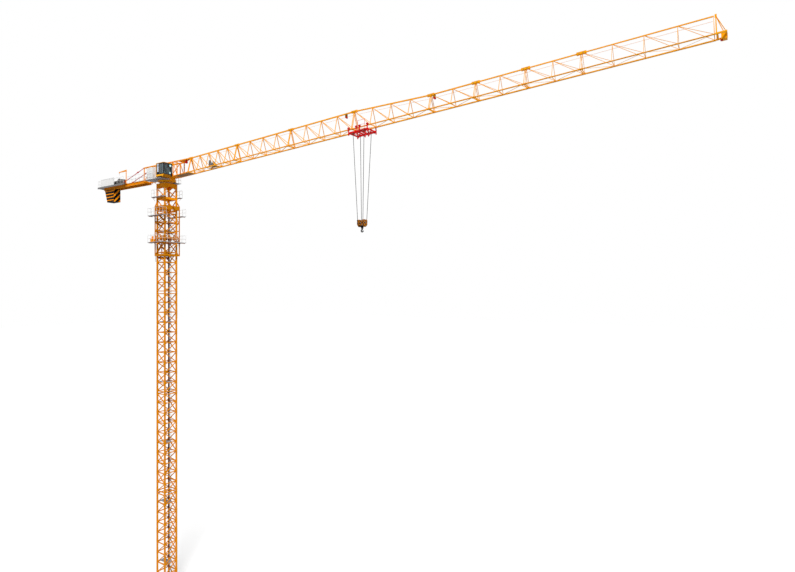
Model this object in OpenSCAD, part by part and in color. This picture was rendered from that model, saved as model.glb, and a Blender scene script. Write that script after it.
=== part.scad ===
// Flat-top tower crane with a climbing cage, as a scale model at 1:10.
// One metre of the full-size crane is 100 mm here.
// The origin is the centre of the mast's foot, +Z is up, +X points along the jib
// and the cab hangs on the -Y side.

/* [Mast] */
// Spacing of the mast's corner chords, centre to centre
mast_w = 190; // [184:1:191]
// Side of a mast chord's square tube
chord_w = 20; // [15:1:20]
// Side of a mast bracing bar
brace_w = 12; // [8:1:12]
// Height of one mast section, two panels of bracing
section_h = 300; // [270:10:320]
// Number of mast sections
section_n = 19; // [14:1:20]
// Lowest sections, which are braced by parallel diagonals
lower_n = 5; // [2:1:6]
// Thickness of the foot plates and the beams of the base cross
foot_t = 8; // [6:1:12]
// Height of the base cross's beams
base_h = 26; // [20:1:34]
// Diameter of an anchor bolt hole in the base cross
anchor_d = 7; // [5:0.5:9]

/* [Climbing cage] */
// Height of the climbing cage
cage_h = 750; // [700:10:800]
// Distance from the mast's axis to the cage's side chords
cage_side = 117; // [117:1:121]
// Distance from the mast's axis to the cage's rear chords
cage_rear = 117; // [117:1:121]
// Distance from the mast's axis to the cage's front chords
cage_front = 136; // [130:1:142]
// Side of a cage chord's square tube
cage_w = 12; // [10:1:12]
// Stroke of the climbing jack, one panel of the mast
climb_stroke = 150; // [120:5:160]
// Outer radius of the climbing jack's cylinder
jack_r = 6.5; // [5.5:0.25:7]
// Width of the cage's service platforms
walk_w = 70; // [50:1:76]
// Thickness of every grating
grating_t = 6; // [3:0.5:7]
// Height of every hand rail
rail_h = 108; // [90:1:120]
// Side of a hand rail's tube
rail_w = 2.5; // [2:0.25:4]

/* [Slewing support and turret] */
// Height of the slewing support above the mast
support_h = 432; // [410:2:450]
// Radius of the turret's drum
turret_r = 124; // [118:1:126]
// Height of the turret's drum above the slewing ring
turret_h = 54; // [50:1:58]
// Height of each half of the slewing ring
ring_h = 12; // [9:1:14]
// Running gap between the two halves of the slewing ring
ring_gap = 0.3; // [0.3:0.1:0.5]

/* [Upper frame and cab] */
// Spacing of the upper frame's and the jib's lower chords
frame_w = 120; // [112:1:128]
// Height of the upper frame, chord axis to chord axis
frame_h = 208; // [200:1:216]
// Length of the upper frame behind the mast's axis
frame_rear = 505; // [480:5:530]
// Side of an upper frame chord's square tube
frame_chord = 14; // [12:1:16]
// Length of the cab
cab_l = 190; // [184:1:194]
// Width of the cab
cab_w = 136; // [126:1:144]
// Height of the cab
cab_h = 205; // [194:1:214]
// Distance from the mast's axis to the back of the cab
cab_x = 68; // [64:1:72]
// Thickness of the cab's walls
cab_wall = 5; // [4:0.5:7]
// Thickness of the cab's panes
glass_t = 2; // [1.5:0.25:3]

/* [Jib] */
// Distance from the mast's axis to where the trolley's rails begin
jib_x = 260; // [250:2:290]
// Upward tilt of the jib, in degrees
jib_tilt = 2.46; // [2:0.02:3.2]
// Length of a long jib section
long_l = 1000; // [960:10:1040]
// Length of a short jib section
short_l = 505; // [480:5:520]
// Height of the inner jib sections, chord axis to chord axis
jib_h = 215; // [200:1:225]
// Height of the outer jib sections
tip_h = 162; // [150:1:176]
// Side of the jib's lower chords
low_chord = 11; // [9:1:13]
// Side of the jib's upper chord at the root, from which it grows thinner outwards
top_chord = 15; // [12:1:16]
// Side of a jib bracing bar at the root, from which they grow thinner outwards
web_w = 7; // [5:0.5:7]
// Length of the jib's nose beyond its last section
nose_l = 78; // [70:1:100]

/* [Trolley and hook] */
// Place of the trolley, as a fraction of the rails' length from their start
trolley_at = 0.502; // [0.44:0.002:0.56]
// Length of each half of the double trolley between its wheels
half_l = 107; // [100:1:120]
// Gap between the two halves of the trolley, wheel to wheel
half_gap = 47; // [44:1:56]
// Radius of a trolley wheel
wheel_r = 9; // [8:0.5:10]
// Drop of the trolley's lower frame below the rails
trolley_drop = 46; // [42:1:60]
// Free length of the hoist rope between trolley and hook block
fall_l = 968; // [600:4:1100]
// Radius of the hoist rope
rope_r = 3; // [1.2:0.1:3]
// Radius of the hook block's two sheaves
sheave_r = 32; // [29:0.5:33]
// Spacing of the hook block's two sheaves
sheave_gap = 72; // [66:1:78]

/* [Counter-jib] */
// Distance from the mast's axis to the counter-jib's rear end
counter_l = 1780; // [1740:10:1840]
// Height of the counter-jib's girders
girder_h = 47; // [42:1:50]
// Width of a girder's flanges
girder_w = 18; // [14:1:20]
// Length of one counterweight slab
slab_l = 45; // [40:1:46]
// Number of counterweight slabs
slab_n = 6; // [4:1:6]
// Height of the counterweight slabs
slab_h = 200; // [190:2:240]
// Width of the counterweight slabs
slab_w = 112; // [100:1:116]
// Slant of the counterweight's rear side, in degrees
slab_slant = 20; // [4:1:24]
// Radius of the hoist winch's drum
drum_r = 34; // [28:1:36]
// Height of the davit crane's post
davit_h = 192; // [176:1:206]
// Reach of the davit crane's arm
davit_l = 206; // [190:1:220]

/* [Hidden] */

orange = "orange";
grey = "slategray";
red = "firebrick";
white = "whitesmoke";

run_gap = 0.3;
slack = 1;
panel_h = section_h / 2;
mast_top = section_n * section_h;
mast_r = mast_w / 2;
mast_out = mast_r + chord_w / 2;
node_in = chord_w;
diagonal_w = brace_w - 1;
upper_n = section_n - lower_n;
part_ends = [0, lower_n, lower_n + ceil(upper_n / 3), lower_n + ceil(2 * upper_n / 3), section_n];

cage_top = mast_top + 95;
cage_base = cage_top - cage_h;
cage_ring_h = 28;
cage_head_h = 60;
cage_mid = cage_base + 254;
platform_r = cage_side + cage_w / 2 + walk_w;
platform_in = cage_side + cage_w / 2;
lower_deck = cage_mid - 48;
middle_deck = lower_deck + 398;
upper_deck = middle_deck + 280;
upper_walk = walk_w * 0.75;

yoke_t = 9;
yoke_h = 28;
yoke_top = cage_base - 6;
jack_x = -(cage_rear + cage_w / 2 + jack_r + slack);
rod_r = jack_r - 2.5;

support_top = mast_top + support_h;
head_h = 74;
arch_r = 80;
arch_drop = 58;
collar_h = 34;
collar_z = upper_deck - grating_t - collar_h;
ring_r = turret_r - 26;
drum_wall = 48;
ring_z = support_top + ring_h + ring_gap;
step_z = ring_z + grating_t;
turret_z = ring_z + ring_h;
turret_top = turret_z + turret_h;

frame_z = turret_top + frame_chord / 2;
frame_top = frame_z + frame_h;
half_w = frame_w / 2;
frame_post = web_w + 4;
merge_x = 350;
cab_post_x = 245;
deck_z = frame_z - 42;

cab_far = -half_w - frame_chord / 2 - 17;
cab_near = cab_far - cab_w;
cab_z = frame_z - 27;
sill = 34;
rake_x = 18;
rake_h = sill - 6;
post_w = 7;
roof_t = 9;
strip_end = 84;

section_lengths = [long_l, long_l, long_l, long_l, short_l, short_l, short_l, long_l];
section_panels = [5, 4, 4, 4, 2, 2, 2, 4];
root_s = 340;
function section_start(i) = i == 0 ? root_s : section_start(i - 1) + section_lengths[i - 1];
jib_end = section_start(7) + section_lengths[7];
root_top = [jib_x + root_s * cos(jib_tilt) - jib_h * sin(jib_tilt), 0,
    frame_z + root_s * sin(jib_tilt) + jib_h * cos(jib_tilt)];
merge_tilt = atan2(frame_top - root_top[2], root_top[0] - merge_x);
taper_s = section_start(3);
taper_e = section_start(4);
function jib_depth(s) = s <= taper_s ? jib_h
    : s >= taper_e ? tip_h
    : jib_h + (tip_h - jib_h) * (s - taper_s) / (taper_e - taper_s);
post_in = 7;
function section_web(i) = web_w * (1 - 0.078 * i);
function section_top(i) = top_chord - 0.9 * i;
function rail_top(i) = low_chord / 2 + 1.5 - 0.7 * i;
rail_y = half_w + low_chord / 2;
rail_out = 7;
rail_t = 4;
joint_l = 42;

trolley_s = trolley_at * jib_end;
trolley_l = 2 * half_l + half_gap;
wheel_y = rail_y + rail_out / 2 + 1;
wheel_z = -low_chord / 2 + rail_t + wheel_r + run_gap;
trolley_side = rail_y + rail_out + 5;
trolley_bar = 10;
basket_w = 34;
trolley_foot = 28;
fall_x = (half_gap + half_l) / 2;
fall_y = 68;
pulley_r = 14;

trolley_x = jib_x + trolley_s * cos(jib_tilt);
trolley_z = frame_z + trolley_s * sin(jib_tilt);
fall_top = trolley_z - trolley_drop - 8;
block_z = fall_top - fall_l;
block_fall_x = sheave_gap / 2;
block_w = 14;
cheek_h = 84;
cheek_w = 40;

girder_z = frame_z - 8;
girder_top = girder_z + girder_h / 2;
girder_base = girder_z - girder_h / 2;
walk_out = 109;
rear_walk_l = 795;
walk_z = girder_top + grating_t;
weight_x = -counter_l + 121;
lug_h = 5;
winch_x = -counter_l + 540;
panel_x = [-counter_l + 90, -counter_l + 480];
side_panel_h = 120;
tie_x = winch_x + 123;
davit_x = -counter_l + rear_walk_l + 12;
davit_y = -half_w - 20;
block_sheave_z = -36;

// A square bar between two points
module bar(a, b, w) {
    d = b - a;
    len = norm(d);
    translate(a)
        rotate([0, acos(d[2] / len), atan2(d[1], d[0])])
            translate([-w / 2, -w / 2, 0])
                cube([w, w, len]);
}

// A block given by its lowest and highest corners
module block(a, b) {
    translate(a)
        cube(b - a);
}

// Everything on the jib lies in a frame tilted about the start of the rails
module on_jib() {
    translate([jib_x, 0, frame_z])
        rotate([0, -jib_tilt, 0])
            children();
}

// Height of a bracing level, kept clear of the flanged ends of a mast part
function level(p, first, last) =
    p == 2 * first ? max(first * section_h, base_h) + node_in
    : p == 2 * last ? last * section_h - node_in
    : p * panel_h;

// One side of a mast part: level bars and one diagonal in each panel
module mast_side(first, last, zigzag) {
    for (p = [2 * first : 2 * last])
        bar([-mast_r, -mast_r, level(p, first, last)],
            [mast_r, -mast_r, level(p, first, last)], brace_w);
    for (p = [2 * first : 2 * last - 1]) {
        dir = zigzag && p % 2 == 1 ? -1 : 1;
        bar([-dir * mast_r, -mast_r, level(p, first, last)],
            [dir * mast_r, -mast_r, level(p + 1, first, last)], diagonal_w);
    }
}

// The four corner chords between two heights
module corner_chords(z0, z1) {
    for (x = [-mast_r, mast_r], y = [-mast_r, mast_r])
        block([x - chord_w / 2, y - chord_w / 2, z0], [x + chord_w / 2, y + chord_w / 2, z1]);
}

// A run of mast sections: four corner chords and four braced sides
module mast_part(i) {
    first = part_ends[i];
    last = part_ends[i + 1];
    low = max(first * section_h, base_h);
    color(orange) {
        corner_chords(low, last * section_h);
        for (side = [0 : 3])
            rotate([0, 0, 90 * side])
                mast_side(first, last, i > 0);
    }
}

// Cross of two box beams that carries the four chords, with anchor holes
module base_cross() {
    arm = mast_r * sqrt(2) + 52;
    beam = chord_w + 14;
    color(orange)
        difference() {
            union() {
                for (turn = [45, 135])
                    rotate([0, 0, turn])
                        block([-arm, -beam / 2, 0], [arm, beam / 2, foot_t]);
                for (turn = [45, 135])
                    rotate([0, 0, turn])
                        block([-arm + 34, -beam / 2, foot_t], [arm - 34, beam / 2, base_h]);
            }
            for (turn = [45 : 90 : 315])
                rotate([0, 0, turn])
                    translate([arm - 17, 0, -1])
                        cylinder(h = foot_t + 2, d = anchor_d, $fn = 32);
        }
}

// Ladder on the inside of the mast's far side
module mast_ladder() {
    stile = 4;
    mid = -mast_r / 2;
    y = mast_r - brace_w / 2;
    color(grey) {
        for (x = [mid - 18, mid + 18])
            block([x - stile / 2, y - stile, base_h],
                  [x + stile / 2, y, mast_top - 2 * node_in]);
        for (p = [1 : 2 * section_n - 1])
            block([mid - 18, y - stile + 1, p * panel_h + 8],
                  [mid + 18, y - 1, p * panel_h + 11]);
    }
}

// Resting platforms that lie on the mast's level bars
module mast_rest_platforms() {
    color(grey)
        for (p = [3 : 6 : 2 * section_n - 4])
            block([-mast_r, -mast_r * 0.6, p * panel_h + brace_w / 2],
                  [mast_r, mast_r * 0.2, p * panel_h + brace_w / 2 + grating_t]);
}

// Red beam hooked on the mast's rear side, which the climbing jack pushes down on
module climbing_yoke() {
    color(red) {
        block([-mast_out - yoke_t, -mast_r - 4, yoke_top - yoke_h],
              [-mast_out, mast_r + 4, yoke_top]);
        for (y = [-mast_r + 14, mast_r - 22])
            block([-mast_out - yoke_t, y, yoke_top - yoke_h - 16],
                  [-mast_out, y + 8, yoke_top - yoke_h]);
        translate([-mast_out - yoke_t, 0, yoke_top - yoke_h])
            linear_extrude(yoke_h)
                polygon([[0, -52], [0, 52], [jack_x - jack_r + mast_out + yoke_t, jack_r],
                         [jack_x - jack_r + mast_out + yoke_t, -jack_r]]);
    }
}

// Rod of the climbing jack, standing on the yoke
module jack_rod() {
    color("silver")
        translate([jack_x, 0, yoke_top])
            cylinder(h = climb_stroke + 46, r = rod_r, $fn = 32);
}

// Square lattice tower between the mast and the slewing ring
module slewing_support() {
    color(orange) {
        corner_chords(mast_top, support_top);
        for (side = [0 : 3])
            rotate([0, 0, 90 * side]) {
                difference() {
                    block([-mast_r, -mast_r - 5, support_top - head_h],
                          [mast_r, -mast_r + 5, support_top]);
                    translate([0, -mast_r + 6, support_top - head_h - arch_drop])
                        rotate([90, 0, 0])
                            cylinder(h = 12, r = arch_r, $fn = 96);
                }
                block([-mast_r, -mast_r - 5, collar_z],
                      [mast_r, -mast_r + 5, collar_z + collar_h]);
                bar([-mast_r, -mast_r, mast_top + node_in],
                    [mast_r, -mast_r, mast_top + node_in], brace_w);
                bar([-mast_r, -mast_r, collar_z],
                    [mast_r, -mast_r, mast_top + node_in], diagonal_w);
                bar([-mast_r, -mast_r, support_top - head_h],
                    [mast_r, -mast_r, collar_z + collar_h], diagonal_w);
            }
        block([-mast_r, -mast_r, support_top - 6], [mast_r, mast_r, support_top]);
    }
}

// One braced side of the climbing cage, between two corners. Every second diagonal is
// a little thinner, so the two that meet outside a chord don't share their faces.
module cage_bracing(a, b) {
    zs = [cage_base + cage_ring_h / 2, cage_mid, cage_mid + 125, cage_mid + 250,
          cage_top - cage_head_h + cage_w];
    for (i = [0 : 3]) {
        flip = i % 2 == 0;
        bar([flip ? a[0] : b[0], flip ? a[1] : b[1], zs[i]],
            [flip ? b[0] : a[0], flip ? b[1] : a[1], zs[i + 1]],
            flip ? cage_w - 2 : cage_w - 3);
    }
    for (i = [2 : 3])
        bar([a[0], a[1], zs[i]], [b[0], b[1], zs[i]], cage_w - 1);
}

// A level rectangle of beams round the mast
module cage_ring(z, h) {
    w = cage_w;
    difference() {
        block([-cage_rear - w / 2, -cage_side - w / 2, z],
              [cage_front + w / 2, cage_side + w / 2, z + h]);
        block([-cage_rear + w / 2, -cage_side + w / 2, z - 1],
              [cage_front - w / 2, cage_side - w / 2, z + h + 1]);
    }
}

// Cage that slides up round the mast, open towards the jib between its rings
module climbing_cage() {
    color(orange) {
        for (x = [-cage_rear, cage_front], y = [-cage_side, cage_side])
            block([x - cage_w / 2, y - cage_w / 2, cage_base],
                  [x + cage_w / 2, y + cage_w / 2, cage_top]);
        cage_ring(cage_base, cage_ring_h);
        cage_ring(cage_mid, cage_ring_h);
        difference() {
            cage_ring(cage_top - cage_head_h, cage_head_h);
            for (x = [-80, 10])
                block([x, -cage_side - cage_w, cage_top - cage_head_h + 15],
                      [x + 70, cage_side + cage_w, cage_top - 15]);
        }
        for (y = [-cage_side, cage_side])
            cage_bracing([-cage_rear, y], [cage_front, y]);
        cage_bracing([-cage_rear, cage_side], [-cage_rear, -cage_side]);
        // struts from the cage's head to the slewing support
        difference() {
            for (x = [-1, 1], y = [-1, 1])
                bar([x < 0 ? -cage_rear : cage_front, y * cage_side, cage_top - 6],
                    [x * (mast_r + 1), y * (mast_r + 1), cage_top + 74], brace_w);
            corner_chords(mast_top, support_top);
            for (side = [0 : 3])
                rotate([0, 0, 90 * side])
                    bar([-mast_r, -mast_r, collar_z],
                        [mast_r, -mast_r, mast_top + node_in], brace_w + 1);
        }
        // shoes that hold the head against the slewing support
        for (x = [-mast_r, mast_r], y = [-1, 1])
            block([x - 6, y > 0 ? mast_out : -cage_side, cage_top - 50],
                  [x + 6, y > 0 ? cage_side : -mast_out, cage_top - 20]);
        // guide pads that run on the mast's chords
        for (z = [cage_base + 2, cage_mid + 2], y = [-1, 1], x = [-mast_r, mast_r])
            block([x - 6, y > 0 ? mast_out + slack : -cage_side, z],
                  [x + 6, y > 0 ? cage_side : -mast_out - slack, z + 24]);
        // stub arms behind the lower ring
        for (y = [-1, 1])
            block([-cage_rear - 46, y * 60 - 5, cage_base + 6],
                  [-cage_rear, y * 60 + 5, cage_base + 26]);
        // beam along which new sections are brought in
        block([cage_front, -cage_w / 2, cage_top - 22],
              [cage_front + 60, cage_w / 2, cage_top - 8]);
    }
}

// A rectangle of grating under a given height
module deck(a, b, z) {
    block([a[0], a[1], z - grating_t], [b[0], b[1], z]);
}

// Three levels of walkways round the cage and the slewing support
module cage_platforms() {
    r = platform_r;
    out = mast_out + upper_walk;
    color(grey) {
        difference() {
            deck([-r, -r], [r, r], lower_deck);
            block([-cage_rear - cage_w / 2, -platform_in, lower_deck - grating_t - 1],
                  [cage_front + cage_w / 2, platform_in, lower_deck + 1]);
            block([jack_x - jack_r - 4, -16, lower_deck - grating_t - 1], [-cage_rear, 16, lower_deck + 1]);
        }
        for (y = [-1, 1]) {
            deck([-r, y > 0 ? platform_in : -r], [r, y > 0 ? r : -platform_in], middle_deck);
            deck([-out, y > 0 ? mast_out : -out], [out, y > 0 ? out : -mast_out], upper_deck);
        }
    }
}

// A run of hand rail over a straight edge: posts, knee rail and top rail
module railing(a, b, z, posts) {
    for (i = [0 : posts]) {
        p = a + (b - a) * i / posts;
        block([p[0] - rail_w / 2, p[1] - rail_w / 2, z],
              [p[0] + rail_w / 2, p[1] + rail_w / 2, z + rail_h]);
    }
    for (h = [rail_h / 2, rail_h - rail_w / 2])
        bar([a[0], a[1], z + h], [b[0], b[1], z + h], rail_w);
}

// Hand rails along the outer edges of the three levels
module cage_railings() {
    r = platform_r - rail_w;
    out = mast_out + upper_walk - rail_w;
    color(white) {
        railing([-r, -r], [r, -r], lower_deck, 5);
        railing([-r, r], [r, r], lower_deck, 5);
        railing([-r, -r], [-r, r], lower_deck, 5);
        railing([r, -r], [r, r], lower_deck, 5);
        for (y = [-1, 1]) {
            railing([-r, y * r], [r, y * r], middle_deck, 5);
            railing([-out, y * out], [out, y * out], upper_deck, 4);
            for (x = [-1, 1]) {
                railing([x * r, y * r], [x * r, y * (platform_in + 8)], middle_deck, 1);
                railing([x * out, y * out], [x * out, y * (mast_out + 6)], upper_deck, 1);
            }
        }
    }
}

// Short ladder that hangs below the cage at its rear corner
module cage_ladder() {
    x = -cage_rear - cage_w / 2;
    y = -cage_side + 8;
    color(white) {
        for (dy = [0, 22])
            block([x - 4, y + dy, cage_base - 84], [x, y + dy + 3, cage_base + 30]);
        for (i = [0 : 3])
            block([x - 3, y + 3, cage_base - 80 + i * 22], [x - 1, y + 22, cage_base - 77 + i * 22]);
    }
}

// Cylinder of the climbing jack, hung from the cage's middle ring
module jack_cylinder() {
    low = cage_base + 18;
    color(red)
        difference() {
            union() {
                translate([jack_x, 0, low])
                    cylinder(h = cage_mid + cage_ring_h - low, r = jack_r, $fn = 32);
                block([jack_x - 4, -12, cage_mid + 2],
                      [-cage_rear - cage_w / 2, 12, cage_mid + cage_ring_h - 2]);
            }
            translate([jack_x, 0, low - 1])
                cylinder(h = cage_mid + cage_ring_h - low - 4, r = rod_r + 0.5, $fn = 32);
        }
}

// Hydraulic pump unit on the lower platform: tank and upright motor
module pump_unit() {
    x = -platform_r + 52;
    y = -platform_r + 10;
    tank = [58, 44, 46];
    color(orange) {
        block([x, y, lower_deck], [x + tank[0], y + tank[1], lower_deck + tank[2]]);
        translate([x + tank[0] / 2, y + tank[1] / 2, lower_deck + tank[2]])
            cylinder(h = 36, r = 13, $fn = 32);
    }
}

// Fixed half of the slewing ring, on the slewing support
module slewing_ring_lower() {
    color("dimgray")
        translate([0, 0, support_top])
            difference() {
                cylinder(h = ring_h, r = ring_r, $fn = 96);
                translate([0, 0, -1])
                    cylinder(h = ring_h + 2, r = ring_r - 22, $fn = 96);
            }
}

// Turning half of the ring with the turret's drum and top plate on it
module turret() {
    color(orange) {
        translate([0, 0, ring_z])
            difference() {
                cylinder(h = ring_h, r = ring_r, $fn = 96);
                translate([0, 0, -1])
                    cylinder(h = ring_h + 2, r = ring_r - 22, $fn = 96);
            }
        translate([0, 0, turret_z])
            difference() {
                cylinder(h = turret_h, r = turret_r, $fn = 96);
                translate([0, 0, -1])
                    cylinder(h = turret_h - 7, r = turret_r - drum_wall, $fn = 96);
                // cut away below the cab
                block([cab_x - 4, -turret_r - 1, cab_z - turret_z - 4],
                      [turret_r + 1, cab_far + 4, turret_h + 1]);
            }
    }
}

// Box truss over the turret: it carries the cab and joins jib and counter-jib
module upper_frame() {
    c = frame_chord;
    posts = [-frame_rear + c / 2, -280, -60, cab_post_x];
    color(orange) {
        for (y = [-half_w, half_w]) {
            block([-frame_rear, y - c / 2, frame_z - c / 2], [jib_x, y + c / 2, frame_z + c / 2]);
            block([-frame_rear, y - c / 2, frame_top - c / 2], [merge_x, y + c / 2, frame_top + c / 2]);
            bar([merge_x - 3, y, frame_top], [root_top[0] - 8, y / 12, root_top[2]], c - 1);
            for (x = posts)
                bar([x, y, frame_z], [x, y, frame_top], frame_post);
            bar([merge_x - 8, y, frame_z + 6], [merge_x - 8, y, frame_top], frame_post);
            bar([posts[0], y, frame_z], [posts[1], y, frame_top], web_w + 0.5);
            bar([posts[2], y, frame_z], [posts[1], y, frame_top], web_w + 0.5);
            bar([posts[2], y, frame_z], [posts[3], y, frame_top], web_w + 0.5);
            bar([merge_x - 8, y, frame_z + 6], [posts[3], y, frame_top], web_w + 0.5);
        }
        for (x = posts) {
            bar([x, -half_w, frame_z], [x, half_w, frame_z], frame_post);
            bar([x, -half_w, frame_top], [x, half_w, frame_top], web_w + 1);
        }
        bar([merge_x - 8, -half_w, frame_top], [merge_x - 8, half_w, frame_top], web_w + 1);
        // plate between the two upper chords where they run together
        on_merge()
            linear_extrude(4)
                polygon([[0, -half_w + 2], [0, half_w - 2], [root_top[0] - merge_x - 36, 9],
                         [root_top[0] - merge_x - 36, -9]]);
        for (i = [0 : 2])
            bar([posts[i], -half_w, frame_top], [posts[i + 1], half_w, frame_top], web_w - 1);
        on_jib() {
            for (y = [-1, 1]) {
                jib_rail(0, root_s, y, rail_top(0));
                bar([root_s - post_in, y * half_w, 0], [root_s - post_in, 0, jib_h], web_w);
            }
            block([root_s - post_in - 4, -half_w, -4], [root_s - post_in + 4, half_w, 4]);
            block([root_s - joint_l, -10, jib_h - 14], [root_s, 10, jib_h + 14]);
        }
    }
}

// Things on the plate between the upper chords, which rises to the root of the jib
module on_merge() {
    translate([merge_x + 4, 0, frame_top - 2])
        rotate([0, merge_tilt, 0])
            children();
}

// Grating between the lower chords in front of the turret
module frame_walkway() {
    color(grey)
        on_jib()
            block([4, -half_w + low_chord / 2, -grating_t],
                  [root_s - post_in - 4, half_w - low_chord / 2, 0]);
}

// Lower chord of the jib with the flange on which the trolley runs
module jib_rail(s0, s1, side, top) {
    y = side * half_w;
    block([s0, y - low_chord / 2, -low_chord / 2], [s1, y + low_chord / 2, top]);
    block([s0, side > 0 ? rail_y : -rail_y - rail_out, -low_chord / 2],
          [s1, side > 0 ? rail_y + rail_out : -rail_y, -low_chord / 2 + rail_t]);
}

// Level bar between the two lower chords
module cross_bar(s, w) {
    block([s - w / 2, -half_w, -w / 2], [s + w / 2, half_w, w / 2]);
}

// One jib section: three chords, paired posts and diagonals, and bracing below
module jib_section(i) {
    s0 = section_start(i);
    s1 = s0 + section_lengths[i];
    n = section_panels[i];
    pitch = (section_lengths[i] - 2 * post_in) / n;
    function at(p) = s0 + post_in + p * pitch;
    web = section_web(i);
    color(orange)
        on_jib() {
            for (side = [-1, 1])
                jib_rail(s0, s1, side, rail_top(i));
            bar([s0 + 5, 0, jib_depth(s0)], [s1 - 5, 0, jib_depth(s1)], section_top(i));
            // plates that pin the upper chord to its neighbours
            block([s0, -9, jib_depth(s0) - 12], [s0 + joint_l, 9, jib_depth(s0) + 12]);
            if (i < 7)
                block([s1 - joint_l, -9, jib_depth(s1) - 12], [s1, 9, jib_depth(s1) + 12]);
            for (p = [0 : n]) {
                for (side = [-1, 1]) {
                    bar([at(p), side * half_w, 0], [at(p), 0, jib_depth(at(p))], web);
                    if (p < n)
                        bar([at(p + 1), side * half_w, 0], [at(p), 0, jib_depth(at(p))], web);
                }
                cross_bar(at(p), p == 0 || p == n ? web + 2 : web + 1);
                if (p < n)
                    bar([at(p), (p % 2 == 0 ? -1 : 1) * half_w, 0],
                        [at(p + 1), (p % 2 == 0 ? 1 : -1) * half_w, 0], web * 0.7);
            }
        }
}

// Nose of the jib: chord ends, end frame, raking struts and the box for the rope's end
module jib_nose() {
    s = jib_end;
    color(orange)
        on_jib() {
            for (side = [-1, 1]) {
                block([s, side * half_w - 6, -6], [s + nose_l, side * half_w + 6, 6]);
                bar([s + 7, 0, tip_h], [s + nose_l - 8, side * half_w, 0], web_w - 3);
                bar([s + 7, side * half_w, 0], [s + 7, 0, tip_h], web_w);
            }
            block([s, -9, tip_h - 11], [s + 14, 9, tip_h + 10]);
            block([s + 8, -half_w, -6], [s + 20, half_w, 6]);
            block([s + nose_l - 14, -half_w, -6], [s + nose_l, half_w, 6]);
            block([s + nose_l - 42, -4, -28], [s + nose_l - 2, 48, 14]);
        }
}

// Red rope sheave and load sensor below the plate at the root of the jib
module root_sheave() {
    color(red)
        on_merge() {
            block([112, -4, -34], [134, 4, 0]);
            translate([123, 12, -34])
                rotate([90, 0, 0])
                    cylinder(h = 24, r = 17, $fn = 48);
        }
}

// Trolley winch in the first jib section, on two rails that lie on its cross bars
module trolley_winch() {
    pitch = (long_l - 2 * post_in) / section_panels[0];
    s0 = root_s + post_in + 2 * pitch;
    s = s0 + 33;
    low = (web_w + 1) / 2;
    color(grey)
        on_jib() {
            for (y = [-36, 26])
                block([s0 - 3, y, low], [s0 + pitch + 3, y + 10, low + 5]);
            translate([s + 60, 34, 34])
                rotate([90, 0, 0])
                    cylinder(h = 68, r = 22, $fn = 48);
            for (y = [-34, 28])
                translate([s, y + 6, 0])
                    rotate([90, 0, 0])
                        linear_extrude(6)
                            polygon([[0, low + 4], [104, low + 4], [60, 58], [30, 98], [8, 98]]);
        }
}

// Two girders behind the turret, with cross beams
module counter_jib() {
    f = 5;
    x0 = weight_x - 12;
    x1 = -frame_rear;
    color(orange) {
        for (y = [-half_w, half_w]) {
            block([x0, y - girder_w / 2, girder_top - f], [x1, y + girder_w / 2, girder_top]);
            block([x0, y - girder_w / 2, girder_base], [x1, y + girder_w / 2, girder_base + f]);
            block([x0, y - 2.5, girder_base], [x1, y + 2.5, girder_top]);
        }
        span = x1 - x0 - 26;
        for (x = [x0 + 10, x0 + 10 + span * 0.3, x0 + 10 + span * 0.54, x0 + 10 + span * 0.78, x1 - 16])
            block([x - 6, -half_w, girder_base + 6], [x + 6, half_w, girder_top - 12]);
    }
}

// Platform on the girders' rear half and the grating between them before it
module counter_jib_walkway() {
    x0 = -counter_l;
    color(grey) {
        block([x0 - 10, -walk_out, girder_top], [x0 + rear_walk_l, walk_out, walk_z]);
        // channels along the platform's edges
        for (y = [-walk_out, walk_out - 3])
            block([x0 - 10, y, walk_z - 22], [x0 + rear_walk_l, y + 3, walk_z + 6]);
        block([x0 - 10, -walk_out, walk_z - 16], [x0 - 7, walk_out, walk_z + 6]);
        block([x0 + rear_walk_l, -half_w + girder_w / 2, girder_top - 12],
              [-frame_rear - 22, half_w - girder_w / 2, girder_top - 12 + grating_t]);
    }
}

// Hand rails of the counter-jib
module counter_jib_railings() {
    x0 = -counter_l;
    x1 = x0 + rear_walk_l;
    out = walk_out - 3 - rail_w;
    in = half_w + girder_w / 2 - rail_w;
    color("lightgray") {
        for (y = [-1, 1])
            railing([x1 + 30, y * in], [-frame_rear - 16, y * in], girder_top, 4);
        railing([x0 - 5, -out], [x0 - 5, out], walk_z, 3);
        railing([x0 - 5, -out], [x0 + 80, -out], walk_z, 2);
        railing([x0 + 490, -out], [x1 - 26, -out], walk_z, 3);
        railing([x0 - 5, out], [x1 - 26, out], walk_z, 8);
    }
}

// Raking tie bars from the upper frame down to the counter-jib
module tie_bars() {
    t = 11;
    hi = [-frame_rear - 6, 0, frame_top - 3];
    lo = [tie_x, 0, walk_z + 14];
    color(red)
        for (y = [-half_w, half_w]) {
            o = [0, y, 0];
            bar(hi + o, lo + o, t - 4);
            for (f = [0.24, 0.82])
                bar(hi + (lo - hi) * f + o, hi + (lo - hi) * (f + 0.06) + o, t + 3);
            block([lo[0] - 10, y - 5, walk_z], [lo[0] + 12, y + 5, walk_z + 18]);
            block([-frame_rear - 12, y - 5, frame_top - 14], [-frame_rear, y + 5, frame_top + 2]);
        }
}

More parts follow.
